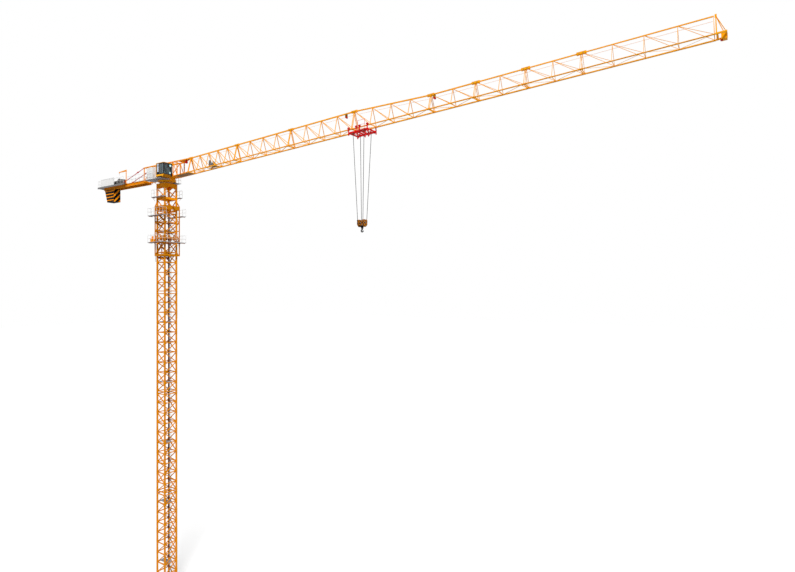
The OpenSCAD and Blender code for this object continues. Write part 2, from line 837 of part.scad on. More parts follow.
// Hoist winch: drum across the girders, motor, gearbox, switch box and its frame
module hoist_winch() {
    z = walk_z;
    base = 8;
    color("dimgray") {
        block([winch_x - 150, -half_w + 5, z], [winch_x + 108, half_w - 5, z + base]);
        translate([winch_x, half_w - 8, z + drum_r + 36])
            rotate([90, 0, 0])
                cylinder(h = frame_w - 16, r = drum_r, $fn = 48);
        for (y = [-half_w + 5, half_w - 11])
            block([winch_x - 24, y, z + base], [winch_x + 24, y + 6, z + drum_r + 46]);
        block([winch_x + 50, -half_w + 8, z + base], [winch_x + 106, -10, z + 88]);
        translate([winch_x - 146, -26, z + 52])
            rotate([0, 90, 0])
                cylinder(h = 96, r = 30, $fn = 48);
        block([winch_x - 134, -44, z + base], [winch_x - 62, -8, z + 32]);
        block([winch_x - 140, 10, z + base], [winch_x - 78, 48, z + 122]);
    }
}

// Plain white side panel along the winch
module side_panel() {
    y = -walk_out + 7;
    color(white)
        block([panel_x[0], y - 3, walk_z], [panel_x[1], y + 3, walk_z + side_panel_h]);
}

// Counterweight slabs hung between the girders, cut to a slant at the rear
module counterweights() {
    gap = 0.6;
    in = half_w - girder_w / 2 - 1;
    color("darkorange")
        difference() {
            for (i = [0 : slab_n - 1]) {
                x = weight_x + i * (slab_l + gap);
                block([x, -slab_w / 2, girder_base - slab_h], [x + slab_l, slab_w / 2, girder_base]);
                block([x + 8, -in, girder_base], [x + slab_l - 8, in, girder_base + lug_h]);
            }
            translate([weight_x, 0, girder_base - 2])
                rotate([0, -slab_slant, 0])
                    block([-2 * slab_h, -slab_w, -2 * slab_h], [0, slab_w, 0]);
        }
}

// Post of the davit crane, on a plate that lies on the near girder
module davit_post() {
    color(orange)
        translate([davit_x, davit_y, girder_top]) {
            block([-10, -8, 0], [10, 20, 4]);
            cylinder(h = davit_h, r = 6, $fn = 32);
        }
}

// Arm of the davit crane, which turns on the post's top: a long triangle with a hook
module davit_arm() {
    color(orange)
        translate([davit_x, davit_y, girder_top + davit_h + run_gap]) {
            cylinder(h = 26, r = 8, $fn = 32);
            translate([0, 4.5, 0])
                rotate([90, 0, 0])
                    linear_extrude(9)
                        polygon([[4, 0], [4, 26], [-davit_l, 13], [-davit_l, 3]]);
            block([-davit_l, -4, -9], [-davit_l + 14, 4, 10]);
        }
}

// Outline of the cab from the side, raked below the windscreen and shrunk all round
function cab_outline(in) =
    let (a = atan2(rake_x, rake_h))
    [[in, in],
     [cab_l - rake_x - in * (1 - sin(a)) / cos(a), in],
     [cab_l - in, ((rake_x - in) * cos(a) + in) / sin(a)],
     [cab_l - in, cab_h - in],
     [in, cab_h - in]];

// Solid with the cab's outline, shrunk all round
module cab_body(in) {
    translate([cab_x, cab_far - in, cab_z])
        rotate([90, 0, 0])
            linear_extrude(cab_w - 2 * in)
                polygon(cab_outline(in));
}

// Window openings of the cab, grown through its walls
module cab_openings(grow) {
    g = grow;
    // front, round the near corner
    block([cab_x + cab_l - cab_wall - g, cab_near - g, cab_z + sill],
          [cab_x + cab_l + g, cab_far - post_w, cab_z + cab_h - roof_t]);
    // near side, beside the rear strip
    block([cab_x + strip_end, cab_near - g, cab_z + sill],
          [cab_x + cab_l + g, cab_near + cab_wall + g, cab_z + cab_h - roof_t]);
    // far side
    block([cab_x + 60, cab_far - cab_wall - g, cab_z + sill + 30],
          [cab_x + cab_l - post_w, cab_far + g, cab_z + cab_h - 12]);
    // rear
    block([cab_x - g, cab_near + post_w + 10, cab_z + sill + 50],
          [cab_x + cab_wall + g, cab_far - post_w - 10, cab_z + cab_h - 20]);
}

// Floor, roof, corner posts and the panels below the windows, as one shell
module cab_frame() {
    color(orange) {
        difference() {
            cab_body(0);
            cab_body(cab_wall);
            cab_openings(1);
        }
        // brackets that hold the cab on the upper frame
        for (z = [cab_z + 50, cab_z + cab_h - 12])
            block([cab_post_x - 5, cab_far, z - 6],
                  [cab_post_x + 5, -half_w - frame_post / 2, z + 6]);
    }
}

// Panes set in the cab's window openings
module cab_windows() {
    color("darkslategray")
        intersection() {
            cab_openings(0);
            difference() {
                cab_body(1);
                cab_body(1 + glass_t);
            }
        }
}

// Grating on brackets beside the turret, below the cab and its cabinet
module cab_platform() {
    color(grey) {
        difference() {
            block([-240, cab_near, deck_z], [175, -half_w + 6, deck_z + grating_t]);
            translate([0, 0, deck_z - 1])
                cylinder(h = grating_t + 2, r = turret_r + run_gap, $fn = 96);
        }
        for (x = [-200, -130, 142])
            block([x - 4, -half_w - 6, deck_z + grating_t],
                  [x + 4, -half_w + 6, frame_z - frame_chord / 2]);
    }
}

// White switch cabinet behind the cab
module electric_cabinet() {
    z = deck_z + grating_t;
    color(white) {
        block([-205, cab_near + 20, z + 6], [-45, cab_near + 98, z + 176]);
        for (x = [-200, -62])
            block([x, cab_near + 28, z], [x + 12, cab_near + 90, z + 6]);
    }
}

// Hand rails beside the turret
module upper_railings() {
    z = deck_z + grating_t;
    y = cab_near + rail_w;
    color(white) {
        railing([-236, y], [46, y], z, 4);
        railing([-236, y], [-236, -half_w - 20], z, 2);
        railing([20, 152], [124, 152], step_z, 2);
        railing([124, 152], [124, 112], step_z, 1);
    }
}

// Small step at the turret's far side
module turret_step() {
    color(grey)
        difference() {
            block([-20, 60, ring_z], [128, 156, step_z]);
            translate([0, 0, ring_z - 1])
                cylinder(h = grating_t + 2, r = ring_r + 0.2, $fn = 96);
        }
}

// Double trolley: two wheeled frames joined by a lower frame, with a basket at the cab's side
module trolley_frame() {
    b = trolley_bar;
    xs = [-trolley_l / 2, -half_gap / 2, half_gap / 2, trolley_l / 2];
    z = -trolley_drop;
    color(red)
        on_jib()
            translate([trolley_s, 0, 0]) {
                for (side = [-1, 1]) {
                    y = side * (trolley_side + b / 2);
                    for (x = xs) {
                        block([x - b / 2, y - b / 2, z - trolley_foot], [x + b / 2, y + b / 2, wheel_z]);
                        // plate that carries the wheel's axle
                        block([x - 13, y - b / 2, wheel_z - 5], [x + 13, y + b / 2, wheel_z + 10]);
                    }
                    block([xs[0], y - b / 2, z - 9], [xs[3], y + b / 2, z + 8]);
                }
                for (x = xs)
                    block([x - b / 2, -trolley_side, z - 8], [x + b / 2, trolley_side, z + 7]);
                trolley_basket(xs[2] + b / 2, xs[3] - b / 2, -trolley_side - b, z - 9);
            }
}

// Maintenance basket between two posts of the trolley: floor, rails and their posts
module trolley_basket(x0, x1, y, z) {
    out = y - basket_w;
    block([x0, out, z], [x1, y, z + 4]);
    for (x = [x0, x1 - rail_w])
        block([x, out, z], [x + rail_w, out + rail_w, z + rail_h]);
    for (h = [rail_h / 2, rail_h - rail_w]) {
        block([x0, out, z + h], [x1, out + rail_w, z + h + rail_w]);
    }
}

// Wheels on the rail flanges, with their stub axles
module trolley_wheels() {
    color("dimgray")
        on_jib()
            translate([trolley_s, 0, 0])
                for (x = [-trolley_l / 2, -half_gap / 2, half_gap / 2, trolley_l / 2], side = [-1, 1])
                    translate([x, side * wheel_y, wheel_z])
                        rotate([side > 0 ? -90 : 90, 0, 0])
                            union() {
                                translate([0, 0, -3])
                                    cylinder(h = 6, r = wheel_r, $fn = 32);
                                cylinder(h = trolley_side - wheel_y, r = 3, $fn = 24);
                            }
}

// Rope sheaves between the trolley's cross bars
module trolley_sheaves() {
    color("gray")
        on_jib()
            translate([trolley_s, 0, -trolley_drop])
                for (x = [-fall_x, fall_x], side = [-1, 1])
                    translate([x, side * (fall_y - rope_r - pulley_r), 0]) {
                        rotate([0, 90, 0])
                            translate([0, 0, -3])
                                cylinder(h = 6, r = pulley_r, $fn = 32);
                        rotate([0, 90, 0])
                            translate([0, 0, -half_l / 2 + trolley_bar / 2])
                                cylinder(h = half_l - trolley_bar, r = 2.5, $fn = 24);
                    }
}

// Four falls of the hoist rope, drawing together towards the hook block
module hoist_ropes() {
    color("silver")
        for (x = [-1, 1], y = [-1, 1])
            rod([trolley_x + x * fall_x, y * fall_y, fall_top],
                [trolley_x + x * block_fall_x, y * (sheave_r + rope_r),
                 block_z + block_sheave_z], rope_r);
}

// A round rod between two points
module rod(a, b, r) {
    d = b - a;
    len = norm(d);
    translate(a)
        rotate([0, acos(d[2] / len), atan2(d[1], d[0])])
            cylinder(h = len, r = r, $fn = 8);
}

// Hook block: two pairs of cheek plates on a cross beam
module hook_block() {
    h = cheek_h;
    w = cheek_w;
    color("darkorange")
        translate([trolley_x, 0, block_z]) {
            for (x = [-block_fall_x, block_fall_x], side = [-1, 1])
                translate([x + side * 6, 0, 0])
                    rotate([90, 0, 90])
                        translate([0, 0, -1.5])
                            linear_extrude(3)
                                polygon([[-w, -8], [-w + 10, -2], [w - 10, -2], [w, -8],
                                         [w - 2, 22 - h], [12, -h], [-12, -h], [2 - w, 22 - h]]);
            block([-block_fall_x + 6, -9, -h], [block_fall_x - 6, 9, 18 - h]);
            // spacers between the cheek plates, round the sheaves
            for (x = [-block_fall_x, block_fall_x], p = [[5 - w, -58], [w - 5, -58], [0, 5 - h]])
                translate([x, p[0], p[1]])
                    rotate([0, 90, 0])
                        cylinder(h = 12, r = 1.8, center = true, $fn = 24);
        }
}

// Two rope sheaves of the hook block
module hook_sheaves() {
    color("gray")
        translate([trolley_x, 0, block_z + block_sheave_z])
            for (x = [-block_fall_x, block_fall_x])
                translate([x, 0, 0])
                    rotate([0, 90, 0]) {
                        translate([0, 0, -3.5])
                            cylinder(h = 7, r = sheave_r, $fn = 48);
                        translate([0, 0, -4.5])
                            cylinder(h = 9, r = 5, $fn = 32);
                    }
}

// Black hook that turns below the block
module hook() {
    z = block_z - cheek_h - run_gap;
    ring = 17;
    drop = 26;
    color("black")
        translate([trolley_x, 0, z]) {
            translate([0, 0, -20])
                cylinder(h = 20, r = 12, $fn = 32);
            translate([0, 0, -drop - 4])
                cylinder(h = 12, r = 7, $fn = 24);
            translate([0, 3.5, -drop - ring])
                rotate([90, 0, 0])
                    difference() {
                        cylinder(h = 7, r = ring, $fn = 48);
                        translate([0, 0, -1])
                            cylinder(h = 9, r = ring - 9, $fn = 48);
                        translate([5, 2, -1])
                            cube([20, 20, 9]);
                    }
        }
}

base_cross();
mast_part(0);  // mast_part_1
mast_part(1);  // mast_part_2
mast_part(2);  // mast_part_3
mast_part(3);  // mast_part_4
mast_ladder();
mast_rest_platforms();
climbing_yoke();
jack_rod();
slewing_support();
climbing_cage();
cage_platforms();
cage_railings();
cage_ladder();
jack_cylinder();
pump_unit();
slewing_ring_lower();
turret();
upper_frame();
frame_walkway();
cab_frame();
cab_windows();
cab_platform();
electric_cabinet();
upper_railings();
turret_step();
jib_section(0);  // jib_section_1
jib_section(1);  // jib_section_2
jib_section(2);  // jib_section_3
jib_section(3);  // jib_section_4
jib_section(4);  // jib_section_5
jib_section(5);  // jib_section_6
jib_section(6);  // jib_section_7
jib_section(7);  // jib_section_8
jib_nose();
root_sheave();
trolley_winch();
counter_jib();
counter_jib_walkway();
counter_jib_railings();
tie_bars();
hoist_winch();
side_panel();
counterweights();
davit_post();
davit_arm();
trolley_frame();
trolley_wheels();
trolley_sheaves();
hoist_ropes();
hook_block();
hook_sheaves();
hook();
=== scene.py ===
import math

import bmesh
import bpy
from mathutils import Matrix, Vector


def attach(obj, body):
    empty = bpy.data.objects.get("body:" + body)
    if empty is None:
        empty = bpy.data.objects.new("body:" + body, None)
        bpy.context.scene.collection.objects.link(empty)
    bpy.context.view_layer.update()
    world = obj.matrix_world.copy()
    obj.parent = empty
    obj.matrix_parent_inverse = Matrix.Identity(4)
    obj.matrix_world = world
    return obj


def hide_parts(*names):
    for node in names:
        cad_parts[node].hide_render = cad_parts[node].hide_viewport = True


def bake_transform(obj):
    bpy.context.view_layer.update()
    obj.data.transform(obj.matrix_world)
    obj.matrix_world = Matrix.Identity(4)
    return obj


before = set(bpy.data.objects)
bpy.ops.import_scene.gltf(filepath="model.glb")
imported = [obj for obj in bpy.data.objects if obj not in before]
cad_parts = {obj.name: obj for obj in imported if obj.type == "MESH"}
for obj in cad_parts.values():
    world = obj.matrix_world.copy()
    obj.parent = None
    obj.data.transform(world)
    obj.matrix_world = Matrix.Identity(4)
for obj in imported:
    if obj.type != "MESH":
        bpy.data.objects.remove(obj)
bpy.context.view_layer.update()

# Camera. It stands level with the upper half of the mast, some 80 m of the crane in front of
# it, and looks level past the mast, as the photo does.
eye = Vector((7.318, -4.75, 4.595))
heading = math.radians(33.5)
camera_data = bpy.data.cameras.new("camera")
camera_data.lens = 24.0
camera_data.sensor_width = 36.0
camera_data.clip_start = 0.05
camera_data.clip_end = 200.0
camera = bpy.data.objects.new("camera", camera_data)
camera.location = eye
camera.rotation_euler = (math.radians(90.0), 0.0, heading)
bpy.context.scene.collection.objects.link(camera)
bpy.context.scene.camera = camera
bpy.context.scene.view_settings.view_transform = "Standard"


# Shader sums. A Field is a socket that takes part in Python arithmetic, and a Finish is a
# node material whose node method adds any node and hands back a Field.
class Field:
    def __init__(self, finish, socket):
        self.finish = finish
        self.socket = socket

    def sum(self, operation, first, second=0.0):
        return self.finish.node("ShaderNodeMath", {"operation": operation}, {0: first, 1: second})

    def __add__(self, other):
        return self.sum("ADD", self, other)

    def __radd__(self, other):
        return self.sum("ADD", other, self)

    def __sub__(self, other):
        return self.sum("SUBTRACT", self, other)

    def __rsub__(self, other):
        return self.sum("SUBTRACT", other, self)

    def __mul__(self, other):
        return self.sum("MULTIPLY", self, other)

    def __rmul__(self, other):
        return self.sum("MULTIPLY", other, self)

    def __mod__(self, other):
        return self.sum("FLOORED_MODULO", self, other)

    def __gt__(self, other):
        return self.sum("GREATER_THAN", self, other)

    def __lt__(self, other):
        return self.sum("LESS_THAN", self, other)

    def __abs__(self):
        return self.sum("ABSOLUTE", self)


class Finish:
    def __init__(self, name, roughness=0.5, metallic=0.0, coat=0.0):
        self.material = bpy.data.materials.new(name)
        self.material.use_nodes = True
        self.tree = self.material.node_tree
        self.shader = self.tree.nodes["Principled BSDF"]
        self.shader.inputs["Roughness"].default_value = roughness
        self.shader.inputs["Metallic"].default_value = metallic
        self.shader.inputs["Coat Weight"].default_value = coat
        self.place = self.node("ShaderNodeTexCoord", {}, {}, "Object")

    def node(self, kind, settings, sockets, out=0):
        made = self.tree.nodes.new(kind)
        for name, value in settings.items():
            if name == "stops":
                for stop, (at, colour) in zip(made.color_ramp.elements, value):
                    stop.position = at
                    stop.color = (*colour, 1.0)
            else:
                setattr(made, name, value)
        for name, value in sockets.items():
            if isinstance(value, Field):
                self.tree.links.new(value.socket, made.inputs[name])
            elif isinstance(value, tuple) and len(value) == 3 and made.inputs[name].type == "RGBA":
                made.inputs[name].default_value = (*value, 1.0)
            else:
                made.inputs[name].default_value = value
        return Field(self, made.outputs[out])

    def noise(self, scale, stretch=(1.0, 1.0, 1.0), detail=3.0):
        where = self.node("ShaderNodeMapping", {}, {"Vector": self.place, "Scale": stretch})
        return self.node("ShaderNodeTexNoise", {}, {"Vector": where, "Scale": scale, "Detail": detail})

    def ramp(self, value, low, high):
        limits = {"Value": value, "From Min": low, "From Max": high}
        return self.node("ShaderNodeMapRange", {"clamp": True}, limits)

    def mix(self, share, first, second):
        return self.node("ShaderNodeMix", {"data_type": "RGBA"}, {0: share, 6: first, 7: second}, 2)

    def axis(self, letter):
        return self.node("ShaderNodeSeparateXYZ", {}, {0: self.place}, letter)

    def colour(self, field):
        self.tree.links.new(field.socket, self.shader.inputs["Base Color"])
        return self

    def rough(self, field):
        self.tree.links.new(field.socket, self.shader.inputs["Roughness"])
        return self

    def bump(self, height, distance, strength=0.5):
        sockets = {"Height": height, "Distance": distance, "Strength": strength}
        made = self.node("ShaderNodeBump", {}, sockets)
        self.tree.links.new(made.socket, self.shader.inputs["Normal"])
        return self


# Backdrop and light. A white surround, a large soft sun from behind the camera and a floor
# that looks white to the camera but keeps the crane's soft shadow round its foot.
world = bpy.data.worlds.new("surround")
bpy.context.scene.world = world
world.use_nodes = True
sky = world.node_tree
sky_ray = sky.nodes.new("ShaderNodeLightPath")
seen = sky.nodes.new("ShaderNodeMath")
seen.operation = "MAXIMUM"
sky.links.new(sky_ray.outputs["Is Camera Ray"], seen.inputs[0])
sky.links.new(sky_ray.outputs["Is Transmission Ray"], seen.inputs[1])
mirrored = sky.nodes.new("ShaderNodeMath")
mirrored.operation = "MAXIMUM"
sky.links.new(seen.outputs[0], mirrored.inputs[0])
sky.links.new(sky_ray.outputs["Is Glossy Ray"], mirrored.inputs[1])
level = sky.nodes.new("ShaderNodeMapRange")
level.inputs["To Min"].default_value = 0.32
level.inputs["To Max"].default_value = 1.0
sky.links.new(mirrored.outputs[0], level.inputs["Value"])
sky.links.new(level.outputs[0], sky.nodes["Background"].inputs["Strength"])
sky.nodes["Background"].inputs["Color"].default_value = (1.0, 1.0, 1.0, 1.0)

sun_data = bpy.data.lights.new("sun", "SUN")
sun_data.energy = 3.5
sun_data.angle = math.radians(16.0)
sun = bpy.data.objects.new("sun", sun_data)
sun.rotation_euler = Vector((0.52, -0.54, 0.72)).to_track_quat("Z", "Y").to_euler()
bpy.context.scene.collection.objects.link(sun)

floor_finish = Finish("floor", roughness=0.9)
floor_grain = floor_finish.ramp(floor_finish.noise(3.0), 0.3, 0.7)
floor_finish.colour(floor_finish.mix(floor_grain, (0.40, 0.40, 0.40), (0.43, 0.43, 0.43)))
floor_ray = floor_finish.node("ShaderNodeLightPath", {}, {}, "Is Camera Ray")
lift = floor_finish.mix(floor_ray, (0.0, 0.0, 0.0), (0.62, 0.62, 0.62))
floor_finish.tree.links.new(lift.socket, floor_finish.shader.inputs["Emission Color"])
floor_finish.shader.inputs["Emission Strength"].default_value = 1.0
floor_mesh = bpy.data.meshes.new("floor")
reach = 60.0
floor_mesh.from_pydata(
    [(-reach, -reach, -0.0005), (reach, -reach, -0.0005), (reach, reach, -0.0005), (-reach, reach, -0.0005)],
    [],
    [(0, 1, 2, 3)],
)
floor_mesh.materials.append(floor_finish.material)
floor = bpy.data.objects.new("floor", floor_mesh)
bpy.context.scene.collection.objects.link(floor)


# Base cross. Two box beams welded into a cross, in the crane's orange-yellow paint, with
# foot plates bolted down at their ends. Its stiffeners and bolts are made here, with the
# Shape in which every later piece is gathered too.
class Shape:
    def __init__(self):
        self.mesh = bmesh.new()

    def skin(self, rings):
        count = len(rings[0])
        self.mesh.faces.new(list(reversed(rings[0])))
        self.mesh.faces.new(rings[-1])
        for low, high in zip(rings, rings[1:]):
            for i in range(count):
                j = (i + 1) % count
                self.mesh.faces.new((low[i], low[j], high[j], high[i]))
        return self

    def solid(self, low, high):
        return self.skin([[self.mesh.verts.new(point) for point in ring] for ring in (low, high)])

    def block(self, a, b):
        x, y, z = ((min(a[i], b[i]), max(a[i], b[i])) for i in range(3))
        corners = ((0, 0), (1, 0), (1, 1), (0, 1))
        return self.solid(
            [(x[i], y[j], z[0]) for i, j in corners], [(x[i], y[j], z[1]) for i, j in corners]
        )

    def beam(self, a, b, wide, deep, across=(0, 0, 1)):
        a, b = Vector(a), Vector(b)
        along = (b - a).normalized()
        side = along.cross(Vector(across))
        if side.length < 0.001:
            side = along.cross(Vector((1, 0, 0)))
        side.normalize()
        up = side.cross(along)
        corners = ((-1, -1), (1, -1), (1, 1), (-1, 1))
        ring = [side * (i * wide / 2) + up * (j * deep / 2) for i, j in corners]
        return self.solid([a + r for r in ring], [b + r for r in ring])

    def turned(self, start, axis, profile, sides=16):
        start, axis = Vector(start), Vector(axis).normalized()
        side = axis.orthogonal().normalized()
        up = axis.cross(side)
        rings = []
        for radius, height in profile:
            turns = [2 * math.pi * i / sides for i in range(sides)]
            rings.append([
                self.mesh.verts.new(
                    start + axis * height + (side * math.cos(t) + up * math.sin(t)) * radius)
                for t in turns
            ])
        return self.skin(rings)

    def tube(self, a, b, radius, sides=8):
        a, b = Vector(a), Vector(b)
        return self.turned(a, b - a, [(radius, 0.0), (radius, (b - a).length)], sides)

    def path(self, points, radius, sides=8):
        points = [Vector(p) for p in points]
        rings = []
        side = (points[1] - points[0]).orthogonal().normalized()
        for i, point in enumerate(points):
            along = (points[min(i + 1, len(points) - 1)] - points[max(i - 1, 0)]).normalized()
            side = (side - along * side.dot(along)).normalized()
            up = along.cross(side)
            turns = [2 * math.pi * k / sides for k in range(sides)]
            rings.append([
                self.mesh.verts.new(point + (side * math.cos(t) + up * math.sin(t)) * radius)
                for t in turns
            ])
        return self.skin(rings)

    def piece(self, name, body, finish, bevel=0.0):
        bmesh.ops.recalc_face_normals(self.mesh, faces=self.mesh.faces)
        for edge in self.mesh.edges:
            edge.smooth = len(edge.link_faces) == 2 and edge.calc_face_angle(0.0) < 0.6
        for face in self.mesh.faces:
            face.smooth = True
        data = bpy.data.meshes.new(name)
        self.mesh.to_mesh(data)
        self.mesh.free()
        data.materials.append(finish.material)
        made = bpy.data.objects.new(name, data)
        bpy.context.scene.collection.objects.link(made)
        if bevel:
            rounding = made.modifiers.new("rounding", "BEVEL")
            rounding.width = bevel
            rounding.segments = 2
            rounding.limit_method = "ANGLE"
        if body:
            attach(made, body)
        return made


def dress(finish, *names):
    for name in names:
        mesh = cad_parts[name].data
        mesh.materials.clear()
        mesh.materials.append(finish.material)


def paint(name, fresh, faded, dirt, roughness):
    made = Finish(name, roughness=roughness)
    made.shader.inputs["Specular IOR Level"].default_value = 0.08
    fade = made.ramp(made.noise(2.6, detail=5.0), 0.35, 0.68)
    streak = made.ramp(made.noise(26.0, (1.0, 1.0, 0.12), 4.0), 0.56, 0.78)
    speck = made.ramp(made.noise(240.0, detail=2.0), 0.64, 0.74)
    worn = made.mix(fade * 0.6, fresh, faded)
    worn = made.mix(streak * 0.22 + speck * 0.25, worn, dirt)
    made.colour(worn)
    made.rough(roughness + fade * 0.12 + streak * 0.16)
    made.bump(made.noise(420.0, detail=2.0), 0.0006, 0.25)
    return made


orange = paint("orange_paint", (0.94, 0.330, 0.0), (0.86, 0.290, 0.0), (0.34, 0.12, 0.004), 0.42)
weathered = paint("weathered_orange", (0.78, 0.262, 0.0), (0.66, 0.210, 0.0), (0.24, 0.085, 0.004), 0.5)
dress(weathered, "base_cross")

steel = Finish("dark_steel", metallic=0.85)
steel_stain = steel.ramp(steel.noise(60.0, detail=4.0), 0.4, 0.7)
steel.colour(steel.mix(steel_stain, (0.23, 0.23, 0.235), (0.10, 0.09, 0.085)))
steel.rough(0.34 + steel_stain * 0.25)
steel.bump(steel.noise(500.0), 0.0003, 0.2)

foot = Shape()
for corner in range(4):
    turn = Matrix.Rotation(math.radians(45 + 90 * corner), 4, "Z")
    for side in (-1, 1):
        rib = [(0.150, side * 0.008, 0.008), (0.176, side * 0.008, 0.008), (0.152, side * 0.008, 0.026)]
        thick = Vector((0.0, side * 0.002, 0.0))
        foot.solid([turn @ Vector(p) for p in rib], [turn @ (Vector(p) + thick) for p in rib])
    for reach_out in (0.055, 0.085, 0.112):
        for side in (-1, 1):
            low = turn @ Vector((reach_out, side * 0.015, 0.009))
            high = turn @ Vector((reach_out, side * 0.015, 0.0255))
            foot.beam(low, high, 0.003, 0.003)
foot.piece("base_ribs", "mast", weathered)

anchors = Shape()
for corner in range(4):
    turn = Matrix.Rotation(math.radians(45 + 90 * corner), 4, "Z")
    spot = turn @ Vector((0.16935, 0.0, 0.008))
    anchors.turned(spot, (0, 0, 1), [(0.0062, 0.0), (0.0062, 0.0012)], 24)
    anchors.turned(spot, (0, 0, 1), [(0.0050, 0.0012), (0.0050, 0.0058), (0.0044, 0.0063)], 6)
    anchors.turned(spot, (0, 0, 1), [(0.0028, 0.006), (0.0028, 0.012), (0.0022, 0.0126)], 12)
anchors.piece("anchor_nuts", "mast", steel)


# Mast. Nineteen sections of square tube, each bolted to the next through lugs at its four
# corners, so every joint shows a short sleeve with two cross bolts; gussets at the nodes.
mast_orange = paint("mast_orange", (0.74, 0.258, 0.0), (0.64, 0.215, 0.0), (0.24, 0.085, 0.004), 0.45)
dress(mast_orange, *("mast_part_%d" % i for i in range(1, 5)))
chord = 0.095
section = 0.3
sections = 19
sleeves = Shape()
bolts = Shape()
for i in range(1, sections):
    z = section * i
    for sx in (-1, 1):
        for sy in (-1, 1):
            x, y = sx * chord, sy * chord
            for low, high in ((-0.024, -0.001), (0.001, 0.024)):
                sleeves.block((x - 0.0107, y - 0.0107, z + low), (x + 0.0107, y + 0.0107, z + high))
            for height in (-0.013, 0.013):
                out = Vector((sx, 0, 0))
                start = Vector((x, y, z + height)) + out * 0.0107
                bolts.turned(start, out, [(0.0040, 0.0), (0.0040, 0.002), (0.0033, 0.0028)], 6)
sleeves.piece("mast_sleeves", "mast", mast_orange, 0.0008)
bolts.piece("mast_bolts", "mast", steel)

gussets = Shape()
for i in range(1, 2 * sections, 2):
    z = 0.15 * i
    for quarter in range(4):
        turn = Matrix.Rotation(math.radians(90 * quarter), 4, "Z")
        for side in (-1, 1):
            inner = side * (chord - 0.010)
            plate = [(inner, z - 0.022), (inner, z + 0.022), (inner - side * 0.020, z + 0.010),
                     (inner - side * 0.020, z - 0.010)]
            under = [turn @ Vector((px, -chord - 0.0015, pz)) for px, pz in plate]
            over = [turn @ Vector((px, -chord + 0.0015, pz)) for px, pz in plate]
            gussets.solid(under, over)
gussets.piece("mast_gussets", "mast", mast_orange)


# Mast ladder. Galvanised, clipped inside the far side near its corner, with a round rung
# every 0.3 m of the crane.
galvanised = Finish("grey_grating", metallic=0.55)
zinc = galvanised.ramp(galvanised.noise(45.0, detail=5.0), 0.35, 0.7)
galvanised.colour(galvanised.mix(zinc, (0.30, 0.31, 0.33), (0.47, 0.48, 0.50)))
galvanised.rough(0.42 + zinc * 0.2)
galvanised.bump(galvanised.noise(300.0), 0.0004, 0.25)
dress(galvanised, "mast_ladder", "cage_ladder")
ladder = Shape()
rung = 0.08
while rung < 5.62:
    ladder.tube((-0.0655, 0.0875, rung), (-0.0295, 0.0875, rung), 0.0011, 6)
    rung += 0.03
ladder.piece("ladder_rungs", "mast", galvanised)


# Mast cables. Three dark brown power and control cables down the far corner beside its chord,
# with a slight sway in every panel.
rubber = Finish("rubber", roughness=0.62)
rubber_dust = rubber.ramp(rubber.noise(90.0), 0.4, 0.75)
rubber.colour(rubber.mix(rubber_dust, (0.008, 0.009, 0.012), (0.026, 0.026, 0.028)))
rubber.bump(rubber.noise(600.0), 0.0003, 0.3)
rubber.shader.inputs["Specular IOR Level"].default_value = 0.12
# The cables' dark brown is partly their own and partly painted shade of the far corner chord behind them.
cable_brown_and_shade = Finish("cable_brown_and_shade", roughness=0.55)
cable_dust = cable_brown_and_shade.ramp(cable_brown_and_shade.noise(60.0), 0.4, 0.7)
cable_brown_and_shade.colour(cable_brown_and_shade.mix(cable_dust, (0.085, 0.016, 0.005), (0.13, 0.045, 0.012)))
cable_brown_and_shade.bump(cable_brown_and_shade.noise(600.0), 0.0003, 0.3)
cables = Shape()
panel = 0.15
for x, y, radius in ((-0.0815, 0.0890, 0.0034), (-0.0810, 0.0815, 0.0040), (-0.0885, 0.0815, 0.0034)):
    for i in range(3, 38):
        z = panel * i
        middle = (x + 0.0012 * math.sin(i * 2.1), y + 0.0012 * math.cos(i * 1.7), z + panel / 2)
        cables.tube((x, y, z), middle, radius, 7)
        cables.tube(middle, (x, y, z + panel), radius, 7)
cables.piece("mast_cables", "mast", cable_brown_and_shade)


# Gratings. Pressed steel planks on the resting platforms, the cage and the upper part:
# galvanised grey, with a fine open pattern of bearing bars that shows as dark lines.
grating = Finish("grating_sheet", metallic=0.4)
bars = grating.axis("X") % 0.006 < 0.0022
ties = grating.axis("Y") % 0.018 < 0.002
open_mesh = grating.node("ShaderNodeMath", {"operation": "MAXIMUM"}, {0: bars, 1: ties})
weather = grating.ramp(grating.noise(12.0, detail=5.0), 0.35, 0.7)
planks = grating.mix(weather, (0.36, 0.37, 0.40), (0.54, 0.55, 0.58))
grating.colour(grating.mix(open_mesh, (0.24, 0.245, 0.26), planks))
grating.rough(0.5 + weather * 0.2)
grating.bump(open_mesh, 0.001, 0.6)
dress(grating, "mast_rest_platforms", "cage_platforms", "cab_platform", "turret_step")


# Yoke and jack. A red beam hooked over pins on the mast's rear chords, and the hydraulic
# cylinder that stands on it and lifts the cage; the rod is ground bright.
red = paint("red_paint", (0.58, 0.005, 0.007), (0.48, 0.005, 0.007), (0.14, 0.01, 0.01), 0.34)
dress(red, "jack_cylinder")
